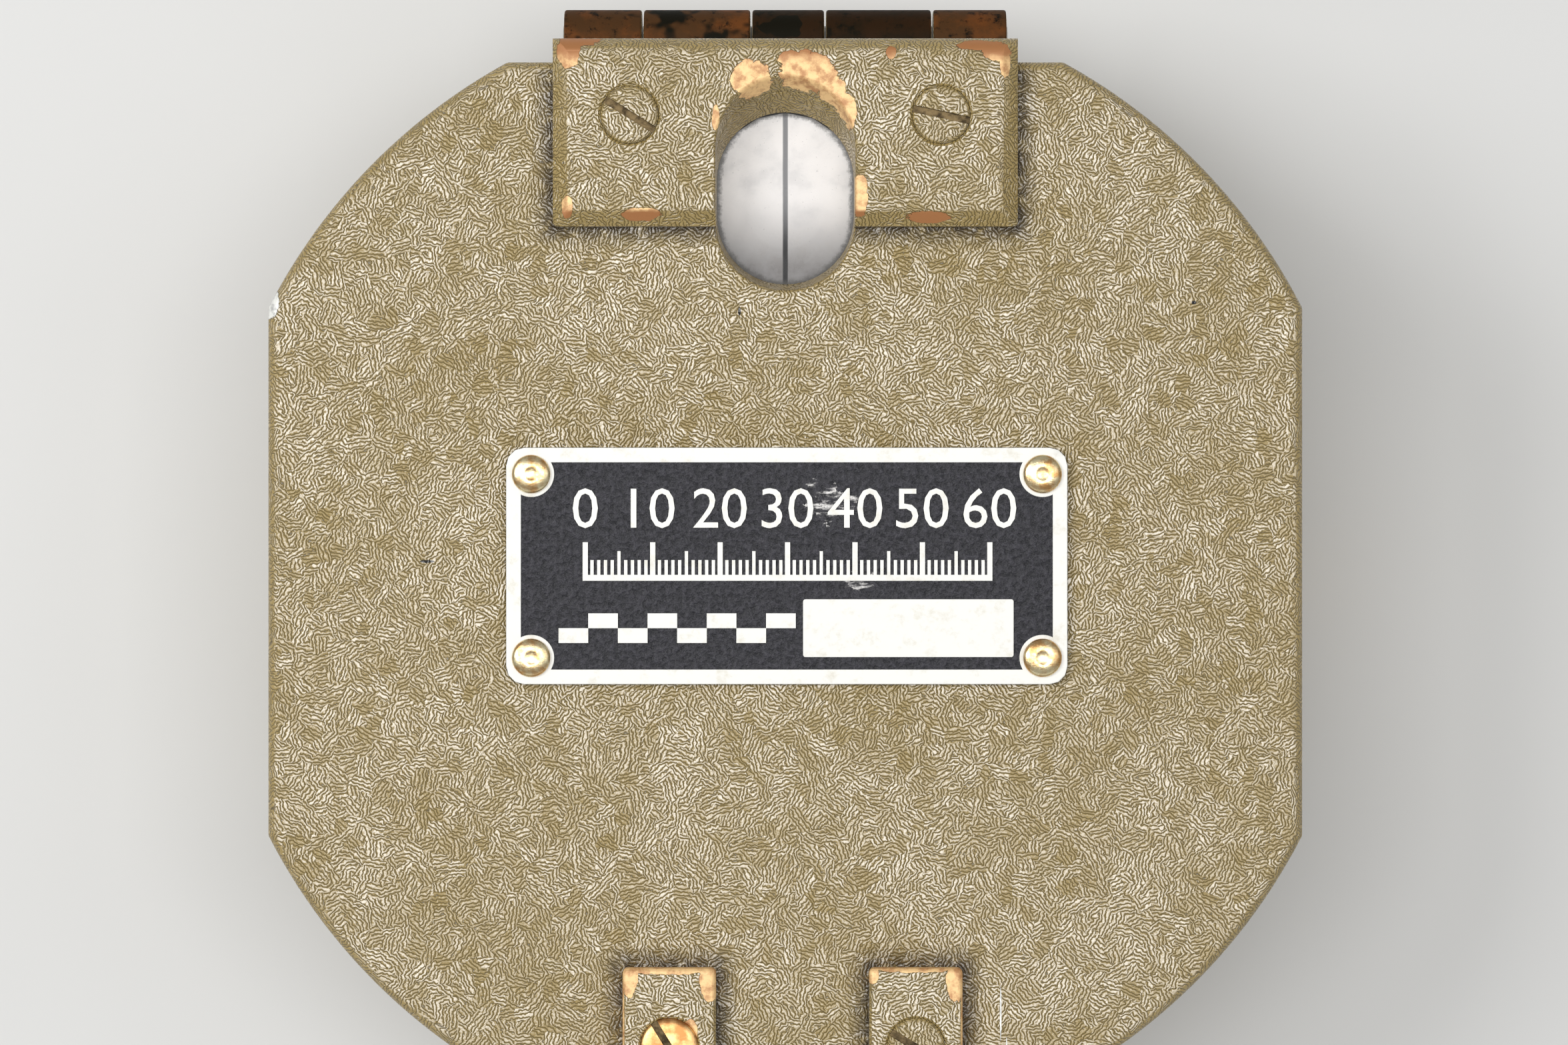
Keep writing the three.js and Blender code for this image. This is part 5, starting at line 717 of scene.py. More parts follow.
def screw(node, body, degrees, facing, finish, slot_finish):
    """A slotted head in place of a node: facing is None on the lid, or turns it to an end wall."""
    low, high = box_mm(node)
    middle = (low + high) / 2
    if facing is None:
        place = (middle.x, middle.y, high.z - SCREW_HEAD_MM)
    elif facing is ALONG_Y:
        place = (middle.x, high.y - SCREW_HEAD_MM, middle.z)
    else:
        place = (middle.x, low.y + SCREW_HEAD_MM, middle.z)
    width, depth = SCREW_SLOT_MM
    cutter = block(-3, 3, -width / 2, width / 2, SCREW_HEAD_MM - depth, SCREW_HEAD_MM + 1)
    head = worked("DIFFERENCE", turned(SCREW_PROFILE_MM, 64), cutter)
    in_slot = [face.index for face in head.polygons if abs(face.center.y) < (width / 2 + 0.01) * MM
               and (SCREW_HEAD_MM - depth - 0.02) * MM < face.center.z < (SCREW_HEAD_MM - 0.04) * MM
               and abs(face.center.x) < 1.9 * MM]
    turn = Matrix.Rotation(math.radians(degrees), 4, "Z")
    moved(head, *place, (facing or Matrix.Identity(4)) @ turn)
    thing = piece(node + "_head", head, finish, body, "worn_screw", node, sharp=50)
    thing.data.materials.append(slot_finish.material)
    for index in in_slot:
        thing.data.polygons[index].material_index = 1


screw_paint = wrinkle_paint("screw_wrinkle_paint")
worn_slot = metal("worn_slot", srgb(138, 119, 87), srgb(74, 63, 47), (0.5, 0.7), 1.5)
aged_brass = metal("aged_brass", srgb(250, 206, 142), srgb(180, 126, 76), (0.28, 0.5), 0.9)
for node, body, degrees, facing in SCREWS:
    screw(node, body, degrees, facing, aged_brass if node == BARE_SCREW else screw_paint, worn_slot)

# Data plate
# An etched aluminium plate, black in the low field, with its border, rivet rings, plain box and
# measuring rule left high and white. It is riveted to the middle of the lid.
PLATE_CORNER_MM = 1.2
PLATE_BORDER_MM = 1.0
PLATE_PRINT_MM = 0.08
PRINT_FOOT_MM = 0.02
PLATE_RIVETS_MM = (17.25, 6.2)
PLATE_HOLE_MM = 0.8
RIVET_RING_MM = 1.55
PLAIN_BOX_MM = (1.1, 15.3, -6.15, -2.25)
BOX_CORNER_MM = 0.15
RULE_START_MM = -13.6
RULE_STEP_MM = 4.55
RULE_NUMBERS = 7
RULE_BASE_MM = (-1.0, -0.6)
RULE_LINE_MM = (0.35, 0.22)
RULE_TICKS_MM = (2.2, 1.6, 1.0)
DIGIT_HEIGHT_MM = 2.7
DIGITS_Y_MM = 3.9
BAR_START_MM = -15.4
BAR_BLOCK_MM = 2
BAR_ROWS_MM = (-5.2, -4.2, -3.2)
PLATE_SHEEN_SPOTS_MM = ((3.2, 4.6, 2.2, 1.5), (5.2, -0.6, 1.5, 1.0), (1.6, 5.9, 0.9, 0.5))
PLATE_BLACK = (srgb(34, 34, 38), srgb(60, 59, 65))
PLATE_SCUFF_SHEEN = srgb(240, 237, 234)
PLATE_WHITE = (srgb(240, 239, 233), srgb(222, 218, 204))
plate_low, plate_high = box_mm("data_plate")
plate_x, plate_y = (plate_low.x + plate_high.x) / 2, (plate_low.y + plate_high.y) / 2
field_top = plate_high.z - PLATE_PRINT_MM
print_low = field_top - PRINT_FOOT_MM
print_thick = PLATE_PRINT_MM + PRINT_FOOT_MM


def joined(meshes):
    """Several meshes as one."""
    work = bmesh.new()
    for mesh in meshes:
        work.from_mesh(mesh)
    mesh = bpy.data.meshes.new("joined")
    work.to_mesh(mesh)
    work.free()
    return mesh


def numeral(text, height, x, y, z, thick, turn=0.0):
    """Plain digits as solid letters, their middle at x, y and their foot at z."""
    curve = bpy.data.curves.new("numeral", "FONT")
    curve.body = text
    curve.resolution_u = 3
    curve.extrude = 0.5
    holder = bpy.data.objects.new("numeral", curve)
    scene.collection.objects.link(holder)
    mesh = bpy.data.meshes.new_from_object(holder.evaluated_get(bpy.context.evaluated_depsgraph_get()))
    bpy.data.objects.remove(holder)
    reach = [[vertex.co[i] for vertex in mesh.vertices] for i in range(2)]
    middle = [(min(values) + max(values)) / 2 for values in reach]
    share = height / (max(reach[1]) - min(reach[1])) * MM
    mesh.transform(Matrix.Translation((-middle[0], -middle[1], 0.5)))
    mesh.transform(Matrix.Diagonal((share, share, thick * MM, 1)))
    return moved(mesh, x, y, z, Matrix.Rotation(turn, 4, "Z"))


def plate_solid(rows, corner=PLATE_CORNER_MM):
    """A block in the plate's outline, with an inset and a height for each row."""
    return rectangle_solid(plate_low.x, plate_high.x, plate_low.y, plate_high.y, rows, corner)


def rank(count):
    """Which of a scale's three lengths a line has: every tenth, every fifth or any other."""
    return 0 if count % 10 == 0 else 1 if count % 5 == 0 else 2


def printed(x0, x1, y0, y1):
    """A raised mark on the plate, measured from its middle."""
    return block(plate_x + x0, plate_x + x1, plate_y + y0, plate_y + y1, print_low, print_low + print_thick)


black_enamel = Finish("black_enamel", {"Specular IOR Level": 0.25})
cast = black_enamel.noise(2.6, 3, 0.6)
stretched = black_enamel.vector("MULTIPLY", {0: black_enamel.place(), 1: (0.5, 1.8, 1.0)})
sheen_streaks = black_enamel.noise(1.3, 5, 0.7, stretched)
# Painted sheen with scuffs: pale patches on the black field, broken by streaky noise.
scuff_sheen = spots(black_enamel, PLATE_SHEEN_SPOTS_MM, black_enamel.noise(0.9, 5, 0.75) * 4.2 - 1.5)
field_colour = black_enamel.mix(cast.between(0.35, 0.7), *PLATE_BLACK)
field_colour = black_enamel.mix(scuff_sheen * sheen_streaks.between(0.47, 0.66), field_colour, PLATE_SCUFF_SHEEN)
black_enamel.set({"Base Color": field_colour, "Roughness": black_enamel.blend(sheen_streaks, 0.3, 0.45),
                  "Normal": black_enamel.relief(cast, 0.16)})
white_enamel = Finish("white_enamel", {"Roughness": 0.35, "IOR": 1.5})
dirt = white_enamel.noise(0.8, 5, 0.7)
white_enamel.set({"Base Color": white_enamel.mix(dirt.between(0.5, 0.75), *PLATE_WHITE),
                  "Normal": white_enamel.relief(dirt, 0.02)})
rivet_places = [(plate_x + side * PLATE_RIVETS_MM[0], plate_y + end * PLATE_RIVETS_MM[1])
                for side in (-1, 1) for end in (-1, 1)]
bore = [(PLATE_HOLE_MM, plate_low.z - 1), (PLATE_HOLE_MM, plate_high.z + 1)]
plate_holes = [moved(turned(bore, 32), x, y) for x, y in rivet_places]
field = plate_solid([(0.1, plate_low.z), (0, plate_low.z + 0.08), (0, field_top - 0.02), (0.05, field_top)])
field = worked("DIFFERENCE", field, *plate_holes)
piece("data_plate_field", field, black_enamel, "cover", "plate_print", "data_plate")
rim = plate_solid([(0.02, field_top - 0.2), (0.02, plate_high.z - 0.03), (0.08, plate_high.z)])
opening = plate_solid([(PLATE_BORDER_MM, field_top - 1), (PLATE_BORDER_MM, plate_high.z + 1)], 0.5)
ring = [(RIVET_RING_MM, field_top - 0.15), (RIVET_RING_MM, plate_high.z - 0.03),
        (RIVET_RING_MM - 0.06, plate_high.z)]
corners_kept = plate_solid([(0.02, field_top - 0.3), (0.02, plate_high.z + 0.1)])
rings = [worked("INTERSECT", moved(turned(ring, 48), x, y), corners_kept) for x, y in rivet_places]
border = worked("UNION", worked("DIFFERENCE", rim, opening), *rings)
border = worked("DIFFERENCE", border, *plate_holes)
x0, x1, y0, y1 = PLAIN_BOX_MM
rows = [(0, field_top - 0.1), (0, plate_high.z - 0.02), (0.05, plate_high.z)]
plain_box = rectangle_solid(plate_x + x0, plate_x + x1, plate_y + y0, plate_y + y1, rows, BOX_CORNER_MM)
piece("data_plate_border", joined([border, plain_box]), white_enamel, "cover", "plate_print")
marks = []
for number in range(RULE_NUMBERS):
    x = RULE_START_MM + number * RULE_STEP_MM
    marks.append(numeral(str(number * 10), DIGIT_HEIGHT_MM, plate_x + x, plate_y + DIGITS_Y_MM,
                         print_low, print_thick))
    for part in range(10 if number < RULE_NUMBERS - 1 else 1):
        tick = RULE_TICKS_MM[rank(part)]
        half = RULE_LINE_MM[part > 0] / 2
        at = x + part * RULE_STEP_MM / 10
        marks.append(printed(at - half, at + half, RULE_BASE_MM[1], RULE_BASE_MM[1] + tick))
half = RULE_LINE_MM[0] / 2
rule_end = RULE_START_MM + (RULE_NUMBERS - 1) * RULE_STEP_MM
marks.append(printed(RULE_START_MM - half, rule_end + half, *RULE_BASE_MM))
for bar in range(4):
    x = BAR_START_MM + bar * 2 * BAR_BLOCK_MM
    marks.append(printed(x, x + BAR_BLOCK_MM, *BAR_ROWS_MM[:2]))
    marks.append(printed(x + BAR_BLOCK_MM, x + 2 * BAR_BLOCK_MM, *BAR_ROWS_MM[1:]))
piece("data_plate_rule", joined(marks), white_enamel, "cover", "plate_print")

# Rivets
# Four brass rivets that hold the plate through its corner rings. The setting tool has left their
# heads polished, with a shallow dimple on top.
RIVET_PROFILE_MM = ((0.7, -1.75), (0.7, -0.05), (1.3, 0), (1.3, 0.08), (1.26, 0.17), (1.12, 0.27),
                    (0.9, 0.35), (0.65, 0.39), (0.5, 0.4), (0.4, 0.37), (0.25, 0.34), (0.08, 0.33))
RIVET_HEAD_MM = 0.4
rivet_brass = metal("rivet_brass", srgb(250, 236, 192), srgb(214, 166, 106), (0.16, 0.34), 1.1, 0.006)
for count in range(4):
    node = "data_plate_rivet_" + str(count + 1)
    low, high = box_mm(node)
    middle = (low + high) / 2
    head = moved(turned(RIVET_PROFILE_MM, 48), middle.x, middle.y, high.z - RIVET_HEAD_MM)
    piece(node + "_head", head, rivet_brass, "cover", "bare_brass", node, sharp=50)

# Front sight brackets
# Two brass straps screwed over the cover's free end; they carry the front sight's pin.
# The enamel is worn off along their inner ends, most at the corners.
BRACKET_THICKNESS_MM = 1.3
BRACKET_LEG_MM = 1.5
BRACKET_EASE_MM = 0.35
BRACKET_SEAT_EDGE_MM = (0.12, 0.08)
FRONT_BARREL_MM = 1.8
FRONT_BARREL_EASE_MM = 0.15
FRONT_PIN_MM = (-37.05, 21.7)
FRONT_BORE_MM = 0.9
BRACKETS = (("front_sight_bracket_left", -7.82, -32), ("front_sight_bracket_right", 8.8, -32))
BRACKET_CHIPS_MM = (
    (-7.8, -26.6, 3.4, 0.55), (-10.5, -27.3, 0.6, 1.3), (-5.1, -27.4, 0.7, 1.6),
    (-11.0, -31, 0.16, 5.0), (8.8, -26.55, 3.4, 0.45), (5.9, -27.1, 0.4, 0.7),
    (11.5, -27.5, 0.7, 1.4), (11.95, -31, 0.14, 4.0), (-6.4, -31.0, 0.5, 0.9),
)
# The brackets get more of the pale painted sheen on their ridge tops.
BRACKET_MORE_SHEEN = 0.35


def bracket_bare(finish):
    ragged = finish.noise(1.9, 4, 0.6) * 1.2 - 0.6
    return spots(finish, BRACKET_CHIPS_MM, ragged), scuffed(finish, *BARE_BRASS)


bracket_paint = wrinkle_paint("bracket_wrinkle_paint", bracket_bare, more_sheen=BRACKET_MORE_SHEEN)
pin_height = FRONT_PIN_MM[1]
edge_out, edge_down = BRACKET_SEAT_EDGE_MM
for node, screw_x, screw_y in BRACKETS:
    low, high = box_mm(node)
    blank = bent_leaf(low.x, high.x, -1, -high.y, under, BRACKET_THICKNESS_MM, BRACKET_LEG_MM, pin_height)
    barrel = rod(FRONT_BARREL_MM, low.x, high.x, FRONT_BARREL_EASE_MM, *FRONT_PIN_MM)
    blank = worked("UNION", blank, barrel)
    rows = [(0, pin_height - 5)] + rounded(high.z, BRACKET_EASE_MM)
    envelope = rectangle_solid(low.x, high.x, low.y - 3, high.y, rows, BRACKET_EASE_MM)
    blank = worked("INTERSECT", blank, envelope)
    seat = [(SCREW_HOLE_MM, under - 1), (SCREW_HOLE_MM, high.z - seat_depth),
            (seat_radius, high.z - seat_depth), (seat_radius, high.z - edge_down),
            (seat_radius + edge_out, high.z), (seat_radius + edge_out, high.z + 1)]
    bore = rod(FRONT_BORE_MM, low.x - 1, high.x + 1, 0.1, *FRONT_PIN_MM)
    blank = worked("DIFFERENCE", blank, moved(turned(seat, 64), screw_x, screw_y), bore)
    piece(node + "_bent", blank, bracket_paint, "cover", "painted_brass", node)

# Mirror
# Silvered plate glass with an oval left clear for the sighting hole and a black line down it.
# Age has hazed and speckled the clear oval. A reflection is painted on it and on its line, pale at
# the top and darker lower down, and its edge is painted dark as shade.
MIRROR_EASE_MM = 0.2
CLEAR_HALF_WIDTH_MM = 4.75
CENTRE_LINE_MM = 0.17
GLASS_REFLECTION_FADE_MM = (26.0, 19.9)
GLASS_REFLECTION_TONES = (srgb(237, 234, 232), srgb(115, 112, 111))
GLASS_MIST = srgb(176, 176, 178)
GLASS_SPECKLE = srgb(128, 128, 128)
RING_MARK_Y_MM = 24.6
RING_MARK_MM = (2.8, 2.5)
RING_MARK = srgb(236, 236, 236)
LINE_REFLECTION_TONES = (srgb(140, 140, 142), srgb(14, 14, 16))
RIM_SHADE_MM = (4.55, 4.95)
RIM_SHADE = srgb(69, 66, 61)
SILVER = (srgb(238, 240, 240), srgb(228, 231, 232))
mirror_low, mirror_high = box_mm("mirror")
silvered = Finish("silvered_glass", {"Specular IOR Level": 0.2})
x, y = silvered.xyz()[:2]
clear_low = SIGHT_GLASS_MM[1] + SIGHT_GLASS_MM[0] / 2
clear_high = SIGHT_GLASS_MM[2] - SIGHT_GLASS_MM[0] / 2
past_end = (abs(y - (clear_low + clear_high) / 2) - (clear_high - clear_low) / 2).most(0.0)
from_spine = (x * x + past_end * past_end).math("SQRT")
clear = from_spine.between(CLEAR_HALF_WIDTH_MM + 0.2, CLEAR_HALF_WIDTH_MM + 0.1)
# Painted reflection: the clear oval and its line are pale at the top and darker lower down.
down = y.between(*GLASS_REFLECTION_FADE_MM)
mist = silvered.noise(0.5, 4, 0.6)
speckle = silvered.noise(6, 3, 0.75)
ragged_rim = silvered.noise(2.2, 4, 0.7)
from_mark = (x * x + (y - RING_MARK_Y_MM) * (y - RING_MARK_Y_MM)).math("SQRT")
on_line = abs(x + (mist - 0.5) * 0.04).between(CENTRE_LINE_MM + 0.05, CENTRE_LINE_MM - 0.05)
colour = silvered.mix(down, *GLASS_REFLECTION_TONES)
colour = silvered.mix(mist.between(0.4, 0.75) * 0.35, colour, GLASS_MIST)
colour = silvered.mix(from_mark.between(*RING_MARK_MM) * 0.045, colour, RING_MARK)
colour = silvered.mix(speckle.between(0.66, 0.74) * 0.6, colour, GLASS_SPECKLE)
colour = silvered.mix(on_line, colour, silvered.mix(down.between(-0.3, 0.8), *LINE_REFLECTION_TONES))
# Painted shade along the edge of the clear oval.
colour = silvered.mix((from_spine + ragged_rim * 0.7).between(*RIM_SHADE_MM) * 0.8, colour, RIM_SHADE)
colour = silvered.mix(clear, silvered.mix(mist, *SILVER), colour)
silvered.set({"Base Color": colour, "Metallic": 1 - clear,
              "Roughness": silvered.blend(clear, 0.02, silvered.blend(mist, 0.2, 0.35)),
              "Normal": silvered.relief(speckle * clear, 0.004)})
plate_glass = turned(column(mirror_high.x, mirror_low.z, mirror_high.z, MIRROR_EASE_MM), ROUND_STEPS)
piece("mirror_glass", plate_glass, silvered, "cover", "mirror", "mirror")

# Mirror backing and retaining ring
# A black card lies behind the mirror. A blackened steel ring, sprung into the cover in front of it,
# holds both and leaves a gap at the notch.
MIRROR_RING_MM = (30.6, 32.2)
RING_EASE_MM = 0.08
LACQUER = (srgb(32, 32, 33), srgb(54, 51, 48))
black_lacquer = Finish("black_lacquer", {"IOR": 1.5})
cloud = black_lacquer.noise(0.5, 4, 0.6)
pits = black_lacquer.noise(5, 3, 0.6)
black_lacquer.set({"Base Color": black_lacquer.mix(cloud.between(0.35, 0.7), *LACQUER),
                   "Roughness": black_lacquer.blend(cloud, 0.32, 0.5),
                   "Normal": black_lacquer.relief(pits, 0.012)})
dress(black_lacquer, "mirror_backing")
ring_low, ring_high = box_mm("mirror_retaining_ring")


def flat_ring(inner, outer, low, high, steps=ROUND_STEPS, ease=RING_EASE_MM):
    """A flat ring with eased edges."""
    profile = [(inner + ease, low), (outer - ease, low), (outer, low + ease), (outer, high - ease),
               (outer - ease, high), (inner + ease, high), (inner, high - ease), (inner, low + ease)]
    return turned(profile, steps, True)


ring_gap = block(-NOTCH_MM[0], NOTCH_MM[0], -half_length, -half_length / 2, ring_low.z - 1, ring_high.z + 1)
ring = worked("DIFFERENCE", flat_ring(*MIRROR_RING_MM, ring_low.z, ring_high.z), ring_gap)
piece("mirror_ring", ring, black_lacquer, "cover", "blackened", "mirror_retaining_ring")

# Body
# The lower casting: turned bowl with ledges for the azimuth scale and the window, a round recess
# in the back for the lever, and one corner drilled for the pin that lifts the needle.
BODY_EDGE_MM = 0.7
BACK_RECESS_MM = (17, 2.2)
BOWL_MM = ((30.2, 4.2), (30.2, 9.2), (31.6, 9.2), (31.6, 14.4), (33.2, 14.4))
SHAFT_HOLE_MM = 2.0
ADJUSTER_AXIS_MM = (0, 6.915)
ADJUSTER_HOLES_MM = ((2.1, 29.2), (3.1, 33.55))
LIFTER_AT_MM = 36
LIFTER_ROOMS_MM = ((26.1, 37.7, 6.45, 8.95), (26.1, 31.9, 6.45, 9.3))
LIFTER_ROOM_HALF_MM = 1.8
LIFTER_WELLS_MM = ((1.0, 6.45, 18), (1.87, 2.28, 7.2))
REAR_SCREWS_MM = ((-7.1, 9.8), (7.1, 9.8))
WALL_SCREW_FROM_MM = 32.9
LACQUERED_MM = (33, 4.1, 14.45)
BODY_CHIPS_LOW_MM = ((34.9, -17.6, 0.6, 0.9), (-24.8, -30.6, 0.7, 0.5))
BODY_CHIPS_HIGH_MM = ((-34.9, 18.4, 0.5, 1.0), (22.4, 32.3, 0.6, 0.6))
body_high = box_mm("compass_body")[1]
to_lifter = Matrix.Rotation(math.radians(135), 4, "Z")
shell = skinned([case_ring(inset, z) for inset, z in rounded(0, BODY_EDGE_MM, -1)]
                + [case_ring(0, body_high.z - RIM_EASE_MM), case_ring(RIM_EASE_MM, body_high.z)])
mouth = BOWL_MM[-1][0]
bowl = turned([*BOWL_MM, (mouth, body_high.z - RIM_EASE_MM), (mouth + RIM_EASE_MM, body_high.z),
               (mouth + RIM_EASE_MM, body_high.z + 1)], ROUND_STEPS)
recess_mouth = BACK_RECESS_MM[0] + HOLLOW_EASE_MM
recess = turned([(recess_mouth, -1), (recess_mouth, 0), (BACK_RECESS_MM[0], HOLLOW_EASE_MM),
                 BACK_RECESS_MM], 128)
cutters = [bowl, recess, turned([(SHAFT_HOLE_MM, 0), (SHAFT_HOLE_MM, 6)], 48)]
cutters += [rod(radius, start, half_width + 1, 0.05, *ADJUSTER_AXIS_MM)
            for radius, start in ADJUSTER_HOLES_MM]
cutters += [moved(block(x0, x1, -LIFTER_ROOM_HALF_MM, LIFTER_ROOM_HALF_MM, z0, z1), turn=to_lifter)
            for x0, x1, z0, z1 in LIFTER_ROOMS_MM]
for radius, low, high in LIFTER_WELLS_MM:
    well = moved(turned([(radius, low), (radius, high)], 48), LIFTER_AT_MM)
    cutters.append(moved(well, turn=to_lifter))
hole = [(SCREW_HOLE_MM, WALL_SCREW_FROM_MM), (SCREW_HOLE_MM, half_length + 1.5)]
for places, facing in ((BODY_LEAF_SCREWS_MM, ALONG_Y), (REAR_SCREWS_MM, FACING_FRONT)):
    cutters += [moved(turned(hole, 32), x, 0, z, facing) for x, z in places]
shell = worked("DIFFERENCE", shell, *cutters)


def body_bare(finish):
    ragged = finish.noise(2.4, 3) * 1.2 - 0.6
    low = spots(finish, BODY_CHIPS_LOW_MM, ragged, (-1, 0.8))
    high = spots(finish, BODY_CHIPS_HIGH_MM, ragged, (body_high.z - 0.8, body_high.z + 1))
    return low.most(high), scuffed(finish, *BARE_ALUMINIUM)


body_paint = wrinkle_paint("body_wrinkle_paint", body_bare)
casting = piece("body_casting", shell, body_paint, "body", "painted_casting", "compass_body")
casting.data.materials.append(black_lacquer.material)
lacquered_radius, lacquered_from, lacquered_to = LACQUERED_MM
for face in casting.data.polygons:
    centre = face.center / MM
    if math.hypot(centre.x, centre.y) < lacquered_radius and lacquered_from < centre.z < lacquered_to:
        face.material_index = 1

# Rear sight
# Blackened brass: an ear bracket on the body's free end, the long slotted arm that folds over the
# window, and a small peep leaf in the fork of its tip.


def eased(node, width, finish, body, slot):
    """A finer copy of a CAD node: its flat faces made whole, then every edge rounded by width."""
    work = bmesh.new()
    work.from_mesh(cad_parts[node].data)
    bmesh.ops.remove_doubles(work, verts=work.verts, dist=0.002 * MM)
    bmesh.ops.dissolve_limit(work, angle_limit=math.radians(1), verts=work.verts, edges=work.edges)
    mesh = bpy.data.meshes.new(node)
    work.to_mesh(mesh)
    work.free()
    thing = piece(node + "_eased", mesh, finish, body, slot, node, sharp=180)
    bevel = thing.modifiers.new("eased_edges", "BEVEL")
    bevel.width = width * MM
    bevel.segments = 2
    bevel.limit_method = "ANGLE"
    bevel.angle_limit = math.radians(38)
    thing.modifiers.move(1, 0)
    return thing


eased("rear_sight_bracket", 0.2, brass_paint, "body", "painted_brass")
eased("rear_sight_holder", 0.15, black_lacquer, "rear_sight_holder", "blackened")
eased("rear_sight_leaf", 0.1, black_lacquer, "rear_sight_leaf", "blackened")

# Front sight
# A blackened brass leaf with a long window and a peep hole. It swings on the pin of its two
# brackets and folds in between the cover and the window.
eased("front_sight", 0.15, black_lacquer, "front_sight", "blackened")

# Window
# A round of plate glass that lies on a black rubber gasket in the mouth of the bowl. A split
# blackened ring, sprung into the wall over it, holds it down.
WINDOW_EASE_MM = 0.15
GASKET_MM = (31.6, 33)
WINDOW_RING_MM = (31.1, 33)
RING_SPLIT_MM = (0.6, 28, 34)
GLASS_DUST = (srgb(226, 234, 230), srgb(250, 248, 240))
RUBBER = (srgb(45, 45, 43), srgb(66, 65, 61))
window_low, window_high = box_mm("body_window")
clear_glass = Finish("clear_glass", {"IOR": 1.5, "Specular IOR Level": 0.25})
smear = clear_glass.noise(0.09, 4, 0.6)
dust = clear_glass.noise(4, 3, 0.8).between(0.7, 0.8)
clear_glass.set({"Base Color": clear_glass.mix(dust, *GLASS_DUST),
                 "Roughness": clear_glass.blend(smear.between(0.45, 0.7), 0.02, 0.12),
                 "Alpha": clear_glass.blend(dust, 0.05, 0.14)})
window = turned(column(window_high.x, window_low.z, window_high.z, WINDOW_EASE_MM), ROUND_STEPS)
piece("window_glass", window, clear_glass, "body", "glass", "body_window")
rubber = clouded("rubber", RUBBER, 1.2, 4, (0.7, 0.85), 0.02, {"Specular IOR Level": 0.3})
low, high = box_mm("window_gasket")
piece("gasket_ring", flat_ring(*GASKET_MM, low.z, high.z), rubber, "body", "gasket", "window_gasket")
low, high = box_mm("window_retaining_ring")
half_split, split_from, split_to = RING_SPLIT_MM
split = block(split_from, split_to, -half_split, half_split, low.z - 1, high.z + 1)
ring = worked("DIFFERENCE", flat_ring(*WINDOW_RING_MM, low.z, high.z), split)
piece("window_ring", ring, black_lacquer, "body", "blackened", "window_retaining_ring")

# Azimuth scale
# A black ring with a crown gear below; white divisions in mils, numbered every two hundred.
# The split steel ring above it carries the fixed index.
DIAL_MM = (26.45, 31.25, 10.5, 10.53)
DIAL_MARKS_TOP_MM = 10.56
PRINT_SUNK_MM = 0.01
DIAL_BLACK = (srgb(37, 37, 38), srgb(55, 55, 55))
DIAL_DIVISIONS = 320
DIAL_LINES_FROM_MM = (28.55, 28.95, 29.3)
DIAL_LINES_TO_MM = 30.5
DIAL_LINE_WIDTH_MM = 0.13
DIAL_NUMBERS = 32
DIAL_DIGIT_MM = 1.05
DIAL_DIGITS_AT_MM = 27.7
SCALE_RING_MM = (30.05, 31.55)
INDEX_MM = (0.9, 30.3, 27.95)
dial_black = clouded("dial_black", DIAL_BLACK, 3, 3, depth_mm=0.01, constants={"Roughness": 0.6})
dress(dial_black, "azimuth_scale")
dial_inner, dial_outer, dial_low, dial_top = DIAL_MM
dial = turned([(dial_inner, dial_low), (dial_outer, dial_low), (dial_outer, dial_top),
               (dial_inner + 0.5, dial_top)], ROUND_STEPS, True)
piece("azimuth_dial", dial, dial_black, "azimuth_scale", "scale_black")


def radial_lines(places, starts, end, width, low, high):
    """Lines of a dial along its radii, each place being a count and an angle."""
    lines = []
    for count, angle in places:
        line = block(starts[rank(count)], end, -width / 2, width / 2, low, high)
        lines.append(moved(line, turn=Matrix.Rotation(angle, 4, "Z")))
    return lines


def radial_numeral(text, height, angle, radius, low, high, turn):
    x, y = radius * math.cos(angle), radius * math.sin(angle)
    return numeral(text, height, x, y, low, high - low, angle + turn)


places = [(count, math.pi / 2 - count * math.tau / DIAL_DIVISIONS) for count in range(DIAL_DIVISIONS)]
marks = radial_lines(places, DIAL_LINES_FROM_MM, DIAL_LINES_TO_MM, DIAL_LINE_WIDTH_MM,
                     dial_top - PRINT_SUNK_MM, DIAL_MARKS_TOP_MM)
for count in range(DIAL_NUMBERS):
    marks.append(radial_numeral(str(count * 2), DIAL_DIGIT_MM, math.pi / 2 - count * math.tau / DIAL_NUMBERS,
                                DIAL_DIGITS_AT_MM, dial_top - PRINT_SUNK_MM, DIAL_MARKS_TOP_MM, -math.pi / 2))
piece("azimuth_divisions", joined(marks), white_enamel, "azimuth_scale", "scale_black")
low, high = box_mm("scale_retaining_ring")
index_half, index_foot, index_tip = INDEX_MM
index_mark = skinned([[(-index_half, index_foot, z), (0, index_tip, z), (index_half, index_foot, z)]
                      for z in (low.z, high.z)])
split = block(-half_split, half_split, -split_to, -split_from, low.z - 1, high.z + 1)
ring = worked("UNION", flat_ring(*SCALE_RING_MM, low.z, high.z), index_mark)
piece("scale_ring", worked("DIFFERENCE", ring, split), satin_steel, "body", "steel", "scale_retaining_ring")

# Azimuth adjuster
# A brass pinion shaft that turns the scale from a bushing in the wall; its slotted head sits flush
# in the side of the case. The movement's other small brass and steel pieces share its finishes.
polished_brass = metal("polished_brass", srgb(250, 223, 145), srgb(225, 178, 107), (0.22, 0.4), 0.5)
eased("azimuth_adjuster", 0.08, polished_brass, "azimuth_adjuster", "bare_brass")
dress(polished_brass, "adjuster_bushing", "lifter_pin", "lifting_lever_pivot", "needle_counterweight",
      "needle_lifting_lever", "lever_washer")
dress(satin_steel, "lifter_spring", "lever_shaft", "needle_pivot", "lever_screw")

